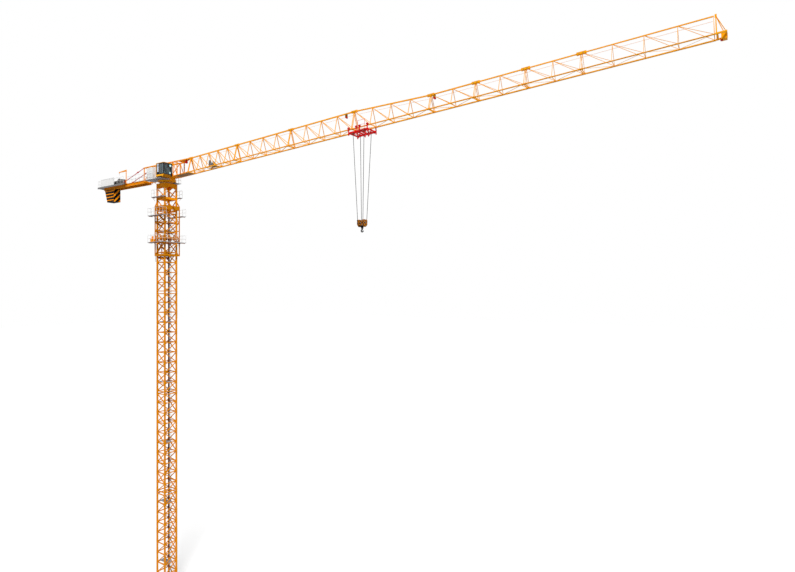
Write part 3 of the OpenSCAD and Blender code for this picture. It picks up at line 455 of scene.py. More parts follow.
# Painted shade: the yoke gets a darker copy of the red, for the shade inside the mast.
yoke_shaded_red = paint("yoke_shaded_red", (0.36, 0.008, 0.006), (0.28, 0.008, 0.006), (0.10, 0.01, 0.01), 0.4)
dress(yoke_shaded_red, "climbing_yoke")
bright = Finish("bright_steel", roughness=0.16, metallic=1.0)
ground = bright.noise(700.0, (1.0, 1.0, 0.05))
bright.colour(bright.mix(ground, (0.55, 0.56, 0.57), (0.70, 0.71, 0.72)))
bright.bump(ground, 0.0002, 0.15)
dress(bright, "jack_rod")
yoke_parts = Shape()
for side in (-1, 1):
    y = side * 0.085
    yoke_parts.block((-0.1165, y - 0.007, 4.998), (-0.114, y + 0.007, 5.034))
    yoke_parts.turned((-0.1145, y, 5.012), (-1, 0, 0), [(0.005, 0.0), (0.005, 0.005), (0.004, 0.006)], 16)
    yoke_parts.beam((-0.118, side * 0.012, 5.012), (-0.118, side * 0.070, 5.020), 0.004, 0.018)
yoke_parts.piece("yoke_hooks", "mast", yoke_shaded_red)


# Climbing cage. Orange rings, chords and bracing that slide up the mast; made here are its
# guide rollers between their holders, and the brackets welded under the walkways.
cage_orange = paint("cage_orange", (0.57, 0.194, 0.0), (0.49, 0.160, 0.0), (0.18, 0.065, 0.004), 0.5)
dress(cage_orange, "climbing_cage")
dress(orange, "slewing_support")
cage_base, cage_mid = 5.045, 5.299
deck_low, deck_mid, deck_top = 5.251, 5.649, 5.929
rollers = Shape()
brackets = Shape()
for z in (cage_base + 0.040, cage_mid + 0.040):
    for sx in (-1, 1):
        for sy in (-1, 1):
            centre = Vector((sx * chord, sy * 0.1105, z))
            rollers.turned(centre - Vector((0.006, 0, 0)), (1, 0, 0),
                           [(0.0035, 0.0), (0.005, 0.001), (0.005, 0.011), (0.0035, 0.012)], 20)
            for dx in (-0.008, 0.0075):
                brackets.block((centre.x + dx, sy * 0.1070, z - 0.016),
                               (centre.x + dx + 0.001, sy * 0.1170, z + 0.006))
rollers.piece("cage_rollers", "cage", steel)
for deck, half_l, inner, outer in ((deck_low, 0.190, 0.124, 0.186), (deck_mid, 0.190, 0.124, 0.186),
                                   (deck_top, 0.152, 0.106, 0.150)):
    low = deck - 0.0062
    for side in (-1, 1):
        for k in range(4):
            x = -half_l * 0.92 + k * half_l * 1.84 / 3
            brackets.beam((x, side * inner, low - 0.004), (x, side * outer, low - 0.004), 0.004, 0.008)
            if abs(x) < 0.14:
                brackets.beam((x, side * inner, low - 0.045), (x, side * (outer - 0.006), low - 0.006),
                              0.003, 0.003)
brackets.piece("walkway_brackets", "cage", cage_orange)


# Hand rails. Thin square tube, painted pale, each post on a small foot plate; the ladder
# up the cage is galvanised like the mast's.
pale = paint("pale_rail", (0.72, 0.71, 0.69), (0.62, 0.61, 0.59), (0.36, 0.33, 0.30), 0.45)
dress(pale, "cage_railings", "upper_railings", "counter_jib_railings")
rail_feet = Shape()
for deck, edge in ((deck_low, 0.1890), (deck_mid, 0.1890), (deck_top, 0.1535)):
    for side in (-1, 1):
        for k in range(4):
            x = -edge * 0.96 + k * edge * 1.92 / 3
            rail_feet.block((x - 0.006, side * edge - 0.004, deck),
                            (x + 0.006, side * edge + 0.003, deck + 0.0025))
rail_feet.piece("rail_feet", "cage", galvanised)


# Pump unit. Orange tank with a motor on it, on the lower walkway, and its two black hoses
# to the jack's cylinder.
dress(orange, "pump_unit")


def around(count, shift=0.0):
    turns = [2 * math.pi * (k + shift) / count for k in range(count)]
    return [Vector((math.cos(t), math.sin(t), 0)) for t in turns]


motor = Shape()
top = Vector((-0.1120, -0.1610, 5.333))
for out in around(14):
    fin = top + out * 0.0135
    motor.beam(fin + Vector((0, 0, -0.030)), fin + Vector((0, 0, -0.004)), 0.0008, 0.003, out)
motor.turned(top, (0, 0, 1), [(0.0135, 0.0), (0.0135, 0.004), (0.010, 0.007)], 24)
motor.block((-0.1430, -0.1840, 5.297), (-0.1310, -0.1760, 5.306))
motor.turned((-0.1350, -0.1460, 5.297), (0, 0, 1), [(0.005, 0.0), (0.005, 0.004), (0.0035, 0.006)], 16)
motor.turned((-0.1410, -0.1610, 5.280), (-1, 0, 0), [(0.004, 0.0), (0.004, 0.002), (0.003, 0.003)], 16)
motor.piece("pump_motor", "cage", orange)
hoses = Shape()
for lift in (0.0, 0.007):
    hoses.path([(-0.138, -0.150, 5.270 + lift), (-0.150, -0.140, 5.272 + lift),
                (-0.158, -0.110, 5.266 + lift), (-0.156, -0.060, 5.272 + lift),
                (-0.148, -0.020, 5.290), (-0.139, -0.006, 5.296 + lift)], 0.0016, 8)
hoses.piece("jack_hoses", "cage", rubber)


# Slewing ring and turret. The ring's lower half carries the outer teeth; the drum above it
# is a welded orange shell with ribs, held to the ring by a circle of bolts.
dress(steel, "slewing_ring_lower")
fresh_orange = paint("fresh_orange", (1.0, 0.430, 0.004), (0.94, 0.380, 0.003), (0.40, 0.15, 0.01), 0.34)
dress(fresh_orange, "turret")
teeth = Shape()
for out in around(120):
    teeth.beam(out * 0.0995 + Vector((0, 0, 6.1325)), out * 0.0995 + Vector((0, 0, 6.1425)),
               0.0026, 0.0035, out)
teeth.piece("ring_teeth", "cage", steel)
ribs = Shape()
for out in around(16, 0.5):
    under_cab = out.x > 0.4 and out.y < -0.5
    if not under_cab:
        ribs.beam(out * 0.1255 + Vector((0, 0, 6.157)), out * 0.1255 + Vector((0, 0, 6.209)),
                  0.004, 0.005, out)
ribs.piece("turret_ribs", "upperworks", fresh_orange)
ring_bolts = Shape()
for out in around(48):
    ring_bolts.turned(out * 0.1080 + Vector((0, 0, 6.1563)), (0, 0, -1), [(0.0026, 0.0), (0.0026, 0.004)], 6)
ring_bolts.piece("ring_bolts", "upperworks", steel)


# Slewing gears. Two upright motors with gear heads, bolted on the turret's top plate inside
# the frame, each with a finned case and a terminal box.
gears = Shape()
for side in (-1, 1):
    foot_at = (-0.092, side * 0.033, 6.2103)
    gears.turned(foot_at, (0, 0, 1), [(0.0200, 0.0), (0.0200, 0.004), (0.0150, 0.006), (0.0150, 0.030),
                                      (0.0185, 0.032), (0.0185, 0.036), (0.0130, 0.038), (0.0130, 0.072),
                                      (0.0145, 0.074), (0.0145, 0.080), (0.0090, 0.085)], 24)
    gears.block((-0.1125, side * 0.033 - 0.007, 6.2520), (-0.1040, side * 0.033 + 0.007, 6.2640))
    for out in around(12):
        fin = Vector(foot_at) + out * 0.0132
        gears.beam(fin + Vector((0, 0, 0.040)), fin + Vector((0, 0, 0.070)), 0.0008, 0.0030, out)
gears.piece("slewing_gears", "upperworks", steel)


# Upper frame. Orange box truss; made here are its floor plate, the gussets where its lower
# chords carry the cab and run into the jib, and those at the feet of its posts.
dress(orange, "upper_frame")
plates = Shape()
plates.block((0.088, -0.0535, 6.2112), (0.300, 0.0535, 6.2140))
for side in (-1, 1):
    y = side * 0.0680
    gusset = [(0.146, y, 6.2105), (0.266, y, 6.2105), (0.234, y, 6.2480), (0.202, y, 6.2480)]
    plates.solid(gusset, [(px, y + side * 0.0018, pz) for px, py, pz in gusset])
    for x in (-0.280, -0.060):
        gusset = [(x - 0.022, y, 6.2235), (x + 0.022, y, 6.2235),
                  (x + 0.007, y, 6.2480), (x - 0.007, y, 6.2480)]
        plates.solid(gusset, [(px, y + side * 0.0015, pz) for px, py, pz in gusset])
plates.piece("frame_plates", "upperworks", orange)


# Frame walkway. Steel planks between the trolley's rails, brownish orange: partly a mottled brown of their
# own, partly painted reflection of the orange chords.
walkway_finish = Finish("planks_with_reflection", metallic=0.2)
plank_mottle = walkway_finish.ramp(walkway_finish.noise(24.0, detail=5.0), 0.35, 0.7)
plank_gaps = walkway_finish.axis("X") % 0.012 < 0.0025
# Painted reflection: the two browns also carry orange light reflected from the chords round the planks.
brown_and_reflected_orange = walkway_finish.mix(plank_mottle, (0.40, 0.200, 0.050), (0.27, 0.150, 0.060))
walkway_finish.colour(walkway_finish.mix(plank_gaps * 0.5, brown_and_reflected_orange, (0.10, 0.06, 0.03)))
walkway_finish.rough(0.55 + plank_mottle * 0.2)
walkway_finish.bump(plank_gaps, 0.001, 0.5)
dress(walkway_finish, "frame_walkway")


# Cab. Orange shell with a raked lower front, whose downward faces carry painted shade; tinted
# panes in black rubber, a bare white strip down the near side, a seat with two consoles inside,
# and a handle on its door.
cab_orange = paint("cab_orange", (1.0, 0.450, 0.006), (0.94, 0.400, 0.004), (0.40, 0.15, 0.01), 0.34)
# Painted shade: faces turned downwards on the raked lower front get a darker orange.
cab_facing = cab_orange.node("ShaderNodeTexCoord", {}, {}, "Normal")
raked = cab_orange.node("ShaderNodeSeparateXYZ", {}, {0: cab_facing}, "Z") < -0.1
cab_unshaded = Field(cab_orange, cab_orange.shader.inputs["Base Color"].links[0].from_socket)
cab_orange.colour(cab_orange.mix(raked * 0.75, cab_unshaded, (0.40, 0.130, 0.002)))
dress(cab_orange, "cab_frame")
glass = Finish("cab_glass", roughness=0.05, coat=0.6)
cloud = glass.ramp(glass.noise(14.0, detail=3.0), 0.35, 0.7)
glass.colour(glass.mix(cloud, (0.010, 0.030, 0.036), (0.040, 0.100, 0.120)))
glass.shader.inputs["Alpha"].default_value = 0.90
glass.bump(glass.noise(6.0), 0.002, 0.15)
dress(glass, "cab_windows")
white = paint("white_sheet", (0.84, 0.84, 0.83), (0.78, 0.78, 0.77), (0.42, 0.38, 0.34), 0.4)
dress(white, "electric_cabinet")
cab_x, cab_y, cab_z = 0.068, -0.220, 6.1903
cab_l = 0.190
front = cab_x + cab_l + 0.0006
trim = Shape()
for x0, x1, z0, z1 in ((0.012, 0.084, 0.036, 0.198), (0.084, 0.190, 0.034, 0.044),
                       (0.084, 0.190, 0.186, 0.199), (0.180, 0.190, 0.034, 0.199),
                       (0.126, 0.131, 0.044, 0.186), (0.006, 0.150, -0.002, 0.010)):
    trim.block((cab_x + x0, cab_y - 0.0012, cab_z + z0), (cab_x + x1, cab_y, cab_z + z1))
for y0, y1, z0, z1 in ((0.0, 0.008, 0.034, 0.199), (0.0, 0.136, 0.188, 0.199),
                       (0.110, 0.1362, 0.010, 0.199), (0.0, 0.136, 0.030, 0.038)):
    trim.block((front - 0.0004, cab_y + y0, cab_z + z0), (front + 0.0010, cab_y + y1, cab_z + z1))
trim.piece("cab_trim", "upperworks", rubber, 0.0004)

side_white = paint("side_strip", (0.66, 0.72, 0.84), (0.58, 0.64, 0.76), (0.30, 0.32, 0.36), 0.4)
strip = Shape()
for low, high in ((0.074, 0.156), (0.164, 0.190)):
    strip.block((cab_x + 0.031, cab_y - 0.0022, cab_z + low), (cab_x + 0.067, cab_y - 0.0010, cab_z + high))
strip.piece("cab_side_strip", "upperworks", side_white, 0.0003)

cab_fittings = Shape()
arm_bends = ((0.052, 0.182), (0.054, 0.120), (0.050, 0.074))
wiper_arm = [(front + 0.0018, cab_y + dy, cab_z + dz) for dy, dz in arm_bends]
cab_fittings.path(wiper_arm, 0.0016, 6)
cab_fittings.turned((front + 0.0006, cab_y + 0.052, cab_z + 0.184), (1, 0, 0),
                    [(0.005, 0.0), (0.004, 0.004)], 12)
wiper_blade = [(front + 0.0012, cab_y + 0.0505, cab_z + dz) for dz in (0.060, 0.122)]
cab_fittings.beam(*wiper_blade, 0.0012, 0.0034, (1, 0, 0))
cab_fittings.block((cab_x + 0.135, cab_y - 0.0026, cab_z + 0.100),
                   (cab_x + 0.143, cab_y - 0.0012, cab_z + 0.106))
for z in (0.040, 0.180):
    cab_fittings.tube((cab_x + 0.017, cab_y - 0.0012, cab_z + z - 0.006),
                      (cab_x + 0.017, cab_y - 0.0012, cab_z + z + 0.006), 0.0014, 10)
cab_fittings.piece("cab_fittings", "upperworks", steel)

cab_inside = Shape()
seat = Vector((0.135, -0.154, 6.196))
cab_inside.block(seat + Vector((-0.018, -0.022, 0.0)), seat + Vector((0.018, 0.022, 0.036)))
cab_inside.block(seat + Vector((-0.026, -0.025, 0.036)), seat + Vector((0.026, 0.025, 0.048)))
back_low = ((-0.030, -0.023), (-0.018, -0.023), (-0.018, 0.023), (-0.030, 0.023))
back_high = ((-0.042, -0.018), (-0.034, -0.018), (-0.034, 0.018), (-0.042, 0.018))
cab_inside.solid([seat + Vector((dx, dy, 0.044)) for dx, dy in back_low],
                 [seat + Vector((dx, dy, 0.128)) for dx, dy in back_high])
for dy in (-0.044, 0.028):
    cab_inside.block(seat + Vector((-0.004, dy, 0.0)), seat + Vector((0.050, dy + 0.016, 0.064)))
    cab_inside.tube(seat + Vector((0.040, dy + 0.008, 0.064)), seat + Vector((0.042, dy + 0.008, 0.080)),
                    0.0022, 8)
cab_inside.piece("driver_seat", "upperworks", rubber, 0.002)


# Painted reflections. A round disc and a small flat panel stand behind the front pane beside its
# far post; their pale cyan light is a painted reflection on the glass.
reflection_finish = Finish("painted_reflection_glow", roughness=0.3)
# Painted reflection: the pale cyan colour and its emission stand for highlights on the glass.
reflection_mottle = reflection_finish.ramp(reflection_finish.noise(50.0), 0.35, 0.65)
reflection_finish.colour(reflection_finish.mix(reflection_mottle, (0.30, 0.62, 0.66), (0.62, 0.88, 0.90)))
reflection_finish.tree.links.new(reflection_finish.mix(reflection_mottle, (0.16, 0.40, 0.44), (0.50, 0.72, 0.74)).socket,
                      reflection_finish.shader.inputs["Emission Color"])
reflection_finish.shader.inputs["Emission Strength"].default_value = 0.6
reflection_shapes = Shape()
reflection_shapes.turned((front + 0.0008, cab_y + 0.106, cab_z + 0.164), (1, 0, 0),
            [(0.0150, 0.0), (0.0165, 0.0016), (0.0120, 0.0030)], 28)
reflection_shapes.block((front + 0.0004, cab_y + 0.094, cab_z + 0.044), (front + 0.0014, cab_y + 0.109, cab_z + 0.074))
reflection_shapes.piece("painted_reflection_spots", "upperworks", reflection_finish, 0.0004)


# Jib. Triangular lattice in eight bolted sections; every joint has fork plates and pins on
# its three chords, and a thin life line runs below the upper chord out to the tip.
dress(fresh_orange, "jib_nose", *("jib_section_%d" % i for i in range(1, 9)))
dress(red, "root_sheave")
tilt = math.radians(2.46)
jib_starts = (0.34, 1.34, 2.34, 3.34, 4.34, 4.845, 5.35, 5.855)


def on_jib(along, across, up):
    x = 0.26 + along * math.cos(tilt) - up * math.sin(tilt)
    z = 6.2173 + along * math.sin(tilt) + up * math.cos(tilt)
    return Vector((x, across, z))


def jib_depth(along):
    share = min(max((along - 3.34) / 1.0, 0.0), 1.0)
    return 0.215 + (0.162 - 0.215) * share


jib_up = (-math.sin(tilt), 0, math.cos(tilt))
forks = Shape()
pins = Shape()
for joint, start in enumerate(jib_starts):
    top_z = jib_depth(start)
    rail_top = 0.0078 - 0.0007 * joint
    for side in (-1, 1):
        forks.beam(on_jib(start - 0.038, side * 0.0098, top_z), on_jib(start + 0.038, side * 0.0098, top_z),
                   0.0022, 0.020, jib_up)
        rail = side * 0.060
        for up in (-0.0068, rail_top):
            forks.beam(on_jib(start - 0.022, rail, up), on_jib(start + 0.022, rail, up),
                       0.013, 0.0022, jib_up)
        for along in (start - 0.011, start + 0.011):
            pins.tube(on_jib(along, rail, -0.0095), on_jib(along, rail, rail_top + 0.003), 0.0034, 12)
    for along in (-0.018, 0.018):
        pins.tube(on_jib(start + along, -0.0145, top_z), on_jib(start + along, 0.0145, top_z), 0.0036, 12)
forks.piece("jib_forks", "upperworks", fresh_orange, 0.0005)
pins.piece("jib_pins", "upperworks", steel)

lines = Shape()
stops = [on_jib(along, 0.0, jib_depth(along) - 0.038) for along in (0.36, 3.34, 4.34, 6.84)]
for first, second in zip(stops, stops[1:]):
    lines.tube(first, second, 0.0011, 6)
lines.piece("life_line", "upperworks", orange)

end_lamp = Shape()
end_lamp.turned(on_jib(6.893, 0.012, -0.0285), (0, 0, -1),
                [(0.0085, 0.0), (0.0095, 0.005), (0.0055, 0.010)], 20)
end_lamp.piece("end_lamp", "upperworks", red)


# Rope carriers. Two brown brackets under the jib's upper chord, each with a red sheave that
# holds the trolley's hauling rope off the lattice.
browned = paint("browned_orange", (0.30, 0.115, 0.004), (0.22, 0.085, 0.004), (0.08, 0.035, 0.006), 0.55)
carriers = Shape()
carrier_sheaves = Shape()
for along in (3.221, 4.378):
    top = jib_depth(along) - 0.004
    for side in (-1, 1):
        carriers.beam(on_jib(along, side * 0.0085, top), on_jib(along, side * 0.0085, top - 0.040),
                      0.022, 0.0025, (0, 1, 0))
    carriers.beam(on_jib(along - 0.008, 0.0, top - 0.008), on_jib(along + 0.008, 0.0, top - 0.008),
                  0.015, 0.008)
    axle = along + 0.004
    carrier_sheaves.tube(on_jib(axle, -0.0105, top - 0.040), on_jib(axle, 0.0105, top - 0.040), 0.0105, 20)
carriers.piece("rope_carriers", "upperworks", browned)
carrier_sheaves.piece("carrier_sheaves", "upperworks", red)


# Trolley winch. Grey drum and motor on two rails that lie along the jib's lower bracing, with
# stranded rope in close turns on the drum.
machine = Finish("machine_grey", metallic=0.3)
oil = machine.ramp(machine.noise(40.0, detail=4.0), 0.4, 0.7)
machine.colour(machine.mix(oil, (0.15, 0.135, 0.12), (0.07, 0.06, 0.052)))
machine.rough(0.4 + oil * 0.2)
machine.bump(machine.noise(260.0), 0.0005, 0.3)
dress(machine, "trolley_winch")
wire = Finish("rope_wire", metallic=0.3)
strands = wire.node("ShaderNodeTexWave", {"wave_type": "BANDS", "bands_direction": "DIAGONAL"},
                    {"Vector": wire.place, "Scale": 260.0, "Distortion": 0.4})
wire.colour(wire.mix(strands, (0.03, 0.03, 0.03), (0.075, 0.075, 0.075)))
wire.rough(0.45 + strands * 0.1)
wire.bump(strands, 0.0006, 0.6)


def windings(shape, start, end, radius, rope, sides=32):
    start, end = Vector(start), Vector(end)
    turns = int((end - start).length / (2 * rope))
    profile = [(radius - rope, 0.0)]
    for turn in range(turns):
        profile += [(radius, rope * (2 * turn + 0.7)), (radius, rope * (2 * turn + 1.3)),
                    (radius - rope * 0.7, rope * (2 * turn + 2))]
    shape.turned(start, end - start, profile, sides)


winch_drum = Shape()
drum_at = on_jib(0.8344, 0.0, 0.034)
windings(winch_drum, drum_at + Vector((0, -0.026, 0)), drum_at + Vector((0, 0.026, 0)), 0.0232, 0.0011)
winch_drum.piece("trolley_rope_turns", "upperworks", wire)
winch_parts = Shape()
for side in (-1, 1):
    hub = drum_at + Vector((0, side * 0.0345, 0))
    winch_parts.turned(hub, (0, side, 0),
                       [(0.0265, 0.0), (0.0265, 0.0012), (0.010, 0.004), (0.010, 0.008)], 32)
for k in range(12):
    turn = 2 * math.pi * k / 12
    out = Vector((math.cos(turn), 0, math.sin(turn)))
    foot_at = drum_at + Vector((0, 0.0425, 0)) + out * 0.0085
    winch_parts.tube(foot_at, foot_at + Vector((0, 0.0022, 0)), 0.0012, 6)
winch_parts.piece("trolley_winch_flanges", "upperworks", steel)


# Hoist winch. Rope in close turns on the drum, flanges, the finned motor behind it with its
# brake, and a switch box with two doors, all bolted on the grey base.
walk_z = 6.2388
drum_z = walk_z + 0.070
motor_z = walk_z + 0.052
dress(machine, "hoist_winch")
hoist_drum = Shape()
windings(hoist_drum, (-1.240, -0.0440, drum_z), (-1.240, 0.0440, drum_z), 0.0352, 0.0024, 40)
hoist_drum.piece("hoist_rope_turns", "upperworks", wire)
winch_steel = Shape()
for side in (-1, 1):
    winch_steel.turned((-1.240, side * 0.0450, drum_z), (0, side, 0),
                       [(0.041, 0.0), (0.041, 0.0022), (0.037, 0.003)], 40)
    winch_steel.turned((-1.240, side * 0.0550, drum_z), (0, side, 0),
                       [(0.014, 0.0), (0.014, 0.006), (0.010, 0.009)], 24)
for k in range(22):
    turn = 2 * math.pi * k / 22
    out = Vector((0, math.cos(turn), math.sin(turn)))
    base = Vector((-1.380, -0.026, motor_z)) + out * 0.0312
    winch_steel.beam(base, base + Vector((0.070, 0, 0)), 0.0012, 0.0030, out)
winch_steel.turned((-1.3862, -0.026, motor_z), (-1, 0, 0), [(0.026, 0.0), (0.026, 0.010), (0.020, 0.014)], 28)
winch_steel.tube((-1.290, -0.026, motor_z), (-1.262, -0.026, motor_z + 0.008), 0.010, 16)
winch_steel.block((-1.350, -0.016, walk_z + 0.082), (-1.320, -0.002, walk_z + 0.096))
for x in (-1.376, -1.300, -1.200, -1.146):
    for side in (-1, 1):
        winch_steel.turned((x, side * 0.0505, walk_z + 0.008), (0, 0, 1),
                           [(0.0032, 0.0), (0.0032, 0.0026)], 6)
winch_steel.piece("hoist_winch_parts", "upperworks", steel)
doors = Shape()
for z0, z1 in ((0.014, 0.062), (0.066, 0.116)):
    doors.block((-1.3765, 0.0480, walk_z + z0), (-1.3215, 0.0492, walk_z + z1))
    doors.block((-1.3812, 0.0140, walk_z + z0), (-1.3800, 0.0440, walk_z + z1))
    doors.block((-1.3260, 0.0492, walk_z + z0 + 0.020), (-1.3245, 0.0505, walk_z + z0 + 0.032))
doors.piece("switch_box_doors", "upperworks", machine, 0.0006)


# Side panel. The bare white sheet stands in a thin grey edge frame on three pressed legs
# along the platform's near edge.
dress(white, "side_panel")
panel_frame = Shape()
for z in (walk_z + 0.0015, walk_z + 0.1185):
    panel_frame.beam((-1.690, -0.102, z), (-1.300, -0.102, z), 0.0085, 0.003)
for x in (-1.6885, -1.3015):
    panel_frame.beam((x, -0.102, walk_z), (x, -0.102, walk_z + 0.120), 0.003, 0.0085)
for x in (-1.650, -1.495, -1.340):
    panel_frame.beam((x, -0.097, walk_z + 0.100), (x, -0.062, walk_z + 0.001), 0.005, 0.003)
    panel_frame.block((x - 0.004, -0.0985, walk_z), (x + 0.004, -0.0965, walk_z + 0.112))
panel_frame.piece("panel_frame", "upperworks", galvanised)


# Counter-jib platform. Darker trodden planks with edge channels, gripped by the girders.
trodden = Finish("trodden_planks", metallic=0.3)
tread = trodden.ramp(trodden.noise(20.0, detail=5.0), 0.35, 0.7)
slots = trodden.axis("X") % 0.012 < 0.0035
worn_steel = trodden.mix(tread, (0.17, 0.165, 0.165), (0.27, 0.265, 0.265))
trodden.colour(trodden.mix(slots * 0.4, worn_steel, (0.08, 0.08, 0.08)))
trodden.rough(0.5 + tread * 0.2)
trodden.bump(slots, 0.001, 0.5)
dress(trodden, "counter_jib_walkway")


# Counter-jib. Two weathered orange girders with stiffeners welded in along them, held up by
# red tie bars that are pinned to the upper frame.
dress(weathered, "counter_jib")
dress(red, "tie_bars")
stiffeners = Shape()
top_z, base_z = 6.2278, 6.1908
for side in (-1, 1):
    for k in range(9):
        x = -1.000 + k * 0.075
        for out in (-1, 1):
            y = side * 0.060 + out * 0.0026
            stiffeners.block((x - 0.0012, y, base_z), (x + 0.0012, y + out * 0.0058, top_z))
stiffeners.piece("girder_stiffeners", "upperworks", weathered)
eyes = Shape()
for k in range(6):
    x = -1.659 + 0.0225 + k * 0.0456
    for side in (-1, 1):
        bow = ((-0.006, 6.1855), (-0.006, 6.1945), (0.0, 6.1985), (0.006, 6.1945), (0.006, 6.1855))
        eyes.path([(x + dx, side * 0.035, z) for dx, z in bow], 0.0016, 6)
eyes.piece("slab_eyes", "upperworks", steel)


# Service davit. Orange post and swinging arm on the counter-jib, with a cap on its pivot and a
# small chain hook at the arm's end.
dress(orange, "davit_post", "davit_arm")
davit = Shape()
arm_z = 6.2328 + 0.192 + 0.0003
davit_y = -0.080
davit.turned((-0.973, davit_y, arm_z + 0.026), (0, 0, 1),
             [(0.0070, 0.0), (0.0070, 0.0015), (0.0035, 0.0040)], 20)
davit.tube((-1.168, davit_y, arm_z - 0.008), (-1.168, davit_y, arm_z - 0.030), 0.0008, 6)
small_hook = ((-1.168, 0.030), (-1.165, 0.034), (-1.166, 0.039), (-1.170, 0.040), (-1.173, 0.036))
davit.path([(x, davit_y, arm_z - drop) for x, drop in small_hook], 0.0011, 8)
davit.piece("davit_hoist", "davit_arm", steel)


# Ballast. Concrete slabs hung between the girders, painted with level black bands on their long
# sides and slanting black stripes across their ends.
stripe_black = (0.002, 0.003, 0.004)
stripe_orange = (0.94, 0.300, 0.0)
ballast = Finish("ballast_stripes", roughness=0.55)
ballast.shader.inputs["Specular IOR Level"].default_value = 0.05
facing = ballast.node("ShaderNodeTexCoord", {}, {}, "Normal")
end_face = abs(ballast.node("ShaderNodeSeparateXYZ", {}, {0: facing}, "X")) > 0.5
level_bands = (ballast.axis("Z") - 5.9769) % 0.0493 > 0.0330
slant = (ballast.axis("Z") - ballast.axis("Y") * 1.2 + 0.0465) % 0.097 > 0.061
bands = ballast.node("ShaderNodeMix", {"data_type": "FLOAT"}, {0: end_face, 2: level_bands, 3: slant})
grime = ballast.ramp(ballast.noise(34.0, detail=5.0), 0.5, 0.8)
striped = ballast.mix(bands, stripe_black, stripe_orange)
ballast.colour(ballast.mix(grime * 0.08, striped, (0.16, 0.11, 0.06)))
ballast.rough(0.5 + grime * 0.25)
ballast.bump(ballast.noise(180.0, detail=4.0), 0.0012, 0.35)
dress(ballast, "counterweights")


# Trolley. Red frame on steel wheels whose outer flanges run beside the rails; axle nuts,
# bracing in the lower frame and guards round the grey rope sheaves.
trolley_s = 3.44121
trolley_red = paint("trolley_red", (0.76, 0.004, 0.006), (0.66, 0.004, 0.006), (0.18, 0.01, 0.01), 0.34)
dress(trolley_red, "trolley_frame")
dress(steel, "trolley_wheels", "trolley_sheaves")
wheel_flanges = Shape()
axle_nuts = Shape()
for x in (-0.1305, -0.0235, 0.0235, 0.1305):
    for side in (-1, 1):
        hub = on_jib(trolley_s + x, side * 0.0729, 0.0078)
        wheel_flanges.turned(hub, (0, side, 0), [(0.0108, 0.0), (0.0108, 0.0010), (0.0060, 0.0020)], 24)
        outer = on_jib(trolley_s + x, side * 0.0875, 0.0078)
        axle_nuts.turned(outer, (0, side, 0), [(0.0042, 0.0), (0.0042, 0.0020), (0.0030, 0.0028)], 6)
wheel_flanges.piece("wheel_flanges", "trolley", steel)
axle_nuts.piece("trolley_axle_nuts", "trolley", steel)
braces = Shape()
for x0, x1 in ((-0.1305, -0.0235), (0.0235, 0.1305)):
    for side in (-1, 1):
        braces.beam(on_jib(trolley_s + x0, side * 0.0775, -0.0525),
                    on_jib(trolley_s + x1, -side * 0.0775, -0.0525),
                    0.005, 0.003 + 0.0008 * side, jib_up)
        for corner, inwards in ((x0, 0.030), (x1, -0.030)):
            braces.beam(on_jib(trolley_s + corner, side * 0.0825, -0.0700),
                        on_jib(trolley_s + corner + inwards, side * 0.0825, -0.0540), 0.004, 0.005, (0, 1, 0))
        middle = (x0 + x1) / 2
        for dx in (-0.0052, 0.0052):
            ring = on_jib(trolley_s + middle + dx, side * 0.0516, -0.046)
            braces.turned(ring, (dx, 0, 0), [(0.0155, 0.0), (0.0155, 0.0012)], 24)
braces.piece("trolley_bracing", "trolley", trolley_red)


# Hook block. Its cheek plates are painted black with orange diamonds; round nuts hold the
# sheaves' axles, and small ones the spacers between the plates.
dress(steel, "hook_sheaves")
block_finish = Finish("block_stripes", roughness=0.45)
block_finish.shader.inputs["Specular IOR Level"].default_value = 0.06
rising = (block_finish.axis("Z") + block_finish.axis("Y") * 1.1) % 0.032 > 0.0135
falling = (block_finish.axis("Z") - block_finish.axis("Y") * 1.1) % 0.032 > 0.0135
block_slant = rising * falling
block_wear = block_finish.ramp(block_finish.noise(70.0), 0.5, 0.75)
block_paint = block_finish.mix(block_slant, stripe_black, stripe_orange)
block_finish.colour(block_finish.mix(block_wear * 0.15, block_paint, (0.12, 0.08, 0.05)))
block_finish.bump(block_finish.noise(300.0), 0.0005, 0.3)
dress(block_finish, "hook_block")
block_at = Vector((on_jib(trolley_s, 0.0, 0.0).x, 0.0, 5.3430))
block_nuts = Shape()
for x in (-0.036, 0.036):
    for side in (-1, 1):
        face = x + side * 0.0075
        for y, z, radius, sides in ((0.0, -0.036, 0.0085, 24), (-0.035, -0.058, 0.003, 6),
                                    (0.035, -0.058, 0.003, 6), (0.0, -0.079, 0.003, 6)):
            block_nuts.turned(block_at + Vector((face, y, z)), (side, 0, 0),
                              [(radius, 0.0), (radius, 0.0018), (radius * 0.7, 0.0026)], sides)
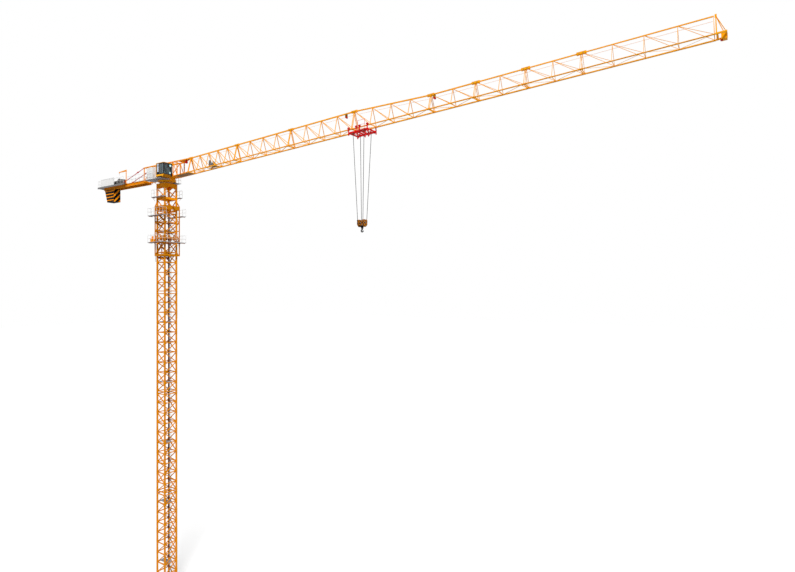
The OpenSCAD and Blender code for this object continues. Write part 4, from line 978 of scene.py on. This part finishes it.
block_nuts.piece("block_nuts", "hook_block", steel)


# Hook. Forged in one piece and blackened, on a swivel under the block, with a sprung steel
# latch across its throat.
forged = Finish("forged_black", roughness=0.5)
forged.shader.inputs["Specular IOR Level"].default_value = 0.15
scale = forged.ramp(forged.noise(120.0, detail=4.0), 0.4, 0.7)
forged.colour(forged.mix(scale, (0.004, 0.004, 0.005), (0.014, 0.013, 0.012)))
forged.rough(0.42 + scale * 0.25)
forged.bump(scale, 0.0006, 0.4)
dress(forged, "hook")
hook_body = Shape()
throat = block_at + Vector((0.0, 0.0, -0.1273))
bend = [block_at + Vector((0.0, 0.0, -0.1000))]
for k in range(13):
    turn = math.radians(90 + 22 * k)
    bend.append(throat + Vector((math.cos(turn), 0.0, math.sin(turn))) * 0.0140)
hook_body.path(bend, 0.0060, 12)
hook_body.turned(block_at + Vector((0, 0, -0.0850)), (0, 0, -1),
                 [(0.0125, 0.0), (0.0150, 0.0030), (0.0150, 0.0090), (0.0125, 0.0150), (0.0085, 0.0210)], 24)
hook_body.piece("hook_body", "hook", forged)
latch = Shape()
latch.beam(block_at + Vector((0.0075, 0.0, -0.1125)), block_at + Vector((0.0145, 0.0, -0.1245)),
           0.004, 0.0016)
latch.piece("hook_latch", "hook", steel)


# Hoist rope. Four falls of stranded wire between the trolley's sheaves and the hook block's,
# and the turn round each lower sheave.
rope = 0.003
fall_top, fall_foot = 6.311, 5.307
falls = Shape()
for x in (-1, 1):
    for side in (-1, 1):
        falls.tube((block_at.x + x * 0.077, side * 0.068, fall_top),
                   (block_at.x + x * 0.036, side * 0.035, fall_foot), rope, 10)
hoist_falls = falls.piece("hoist_falls", None, wire)
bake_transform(hoist_falls)
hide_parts("hoist_ropes")
bights = Shape()
for x in (-0.036, 0.036):
    turns = [math.pi * k / 14 for k in range(15)]
    bights.path([(block_at.x + x, 0.035 * math.cos(t), fall_foot - 0.035 * math.sin(t)) for t in turns],
                rope, 10)
bights.piece("rope_turns_below", "hook_block", wire)
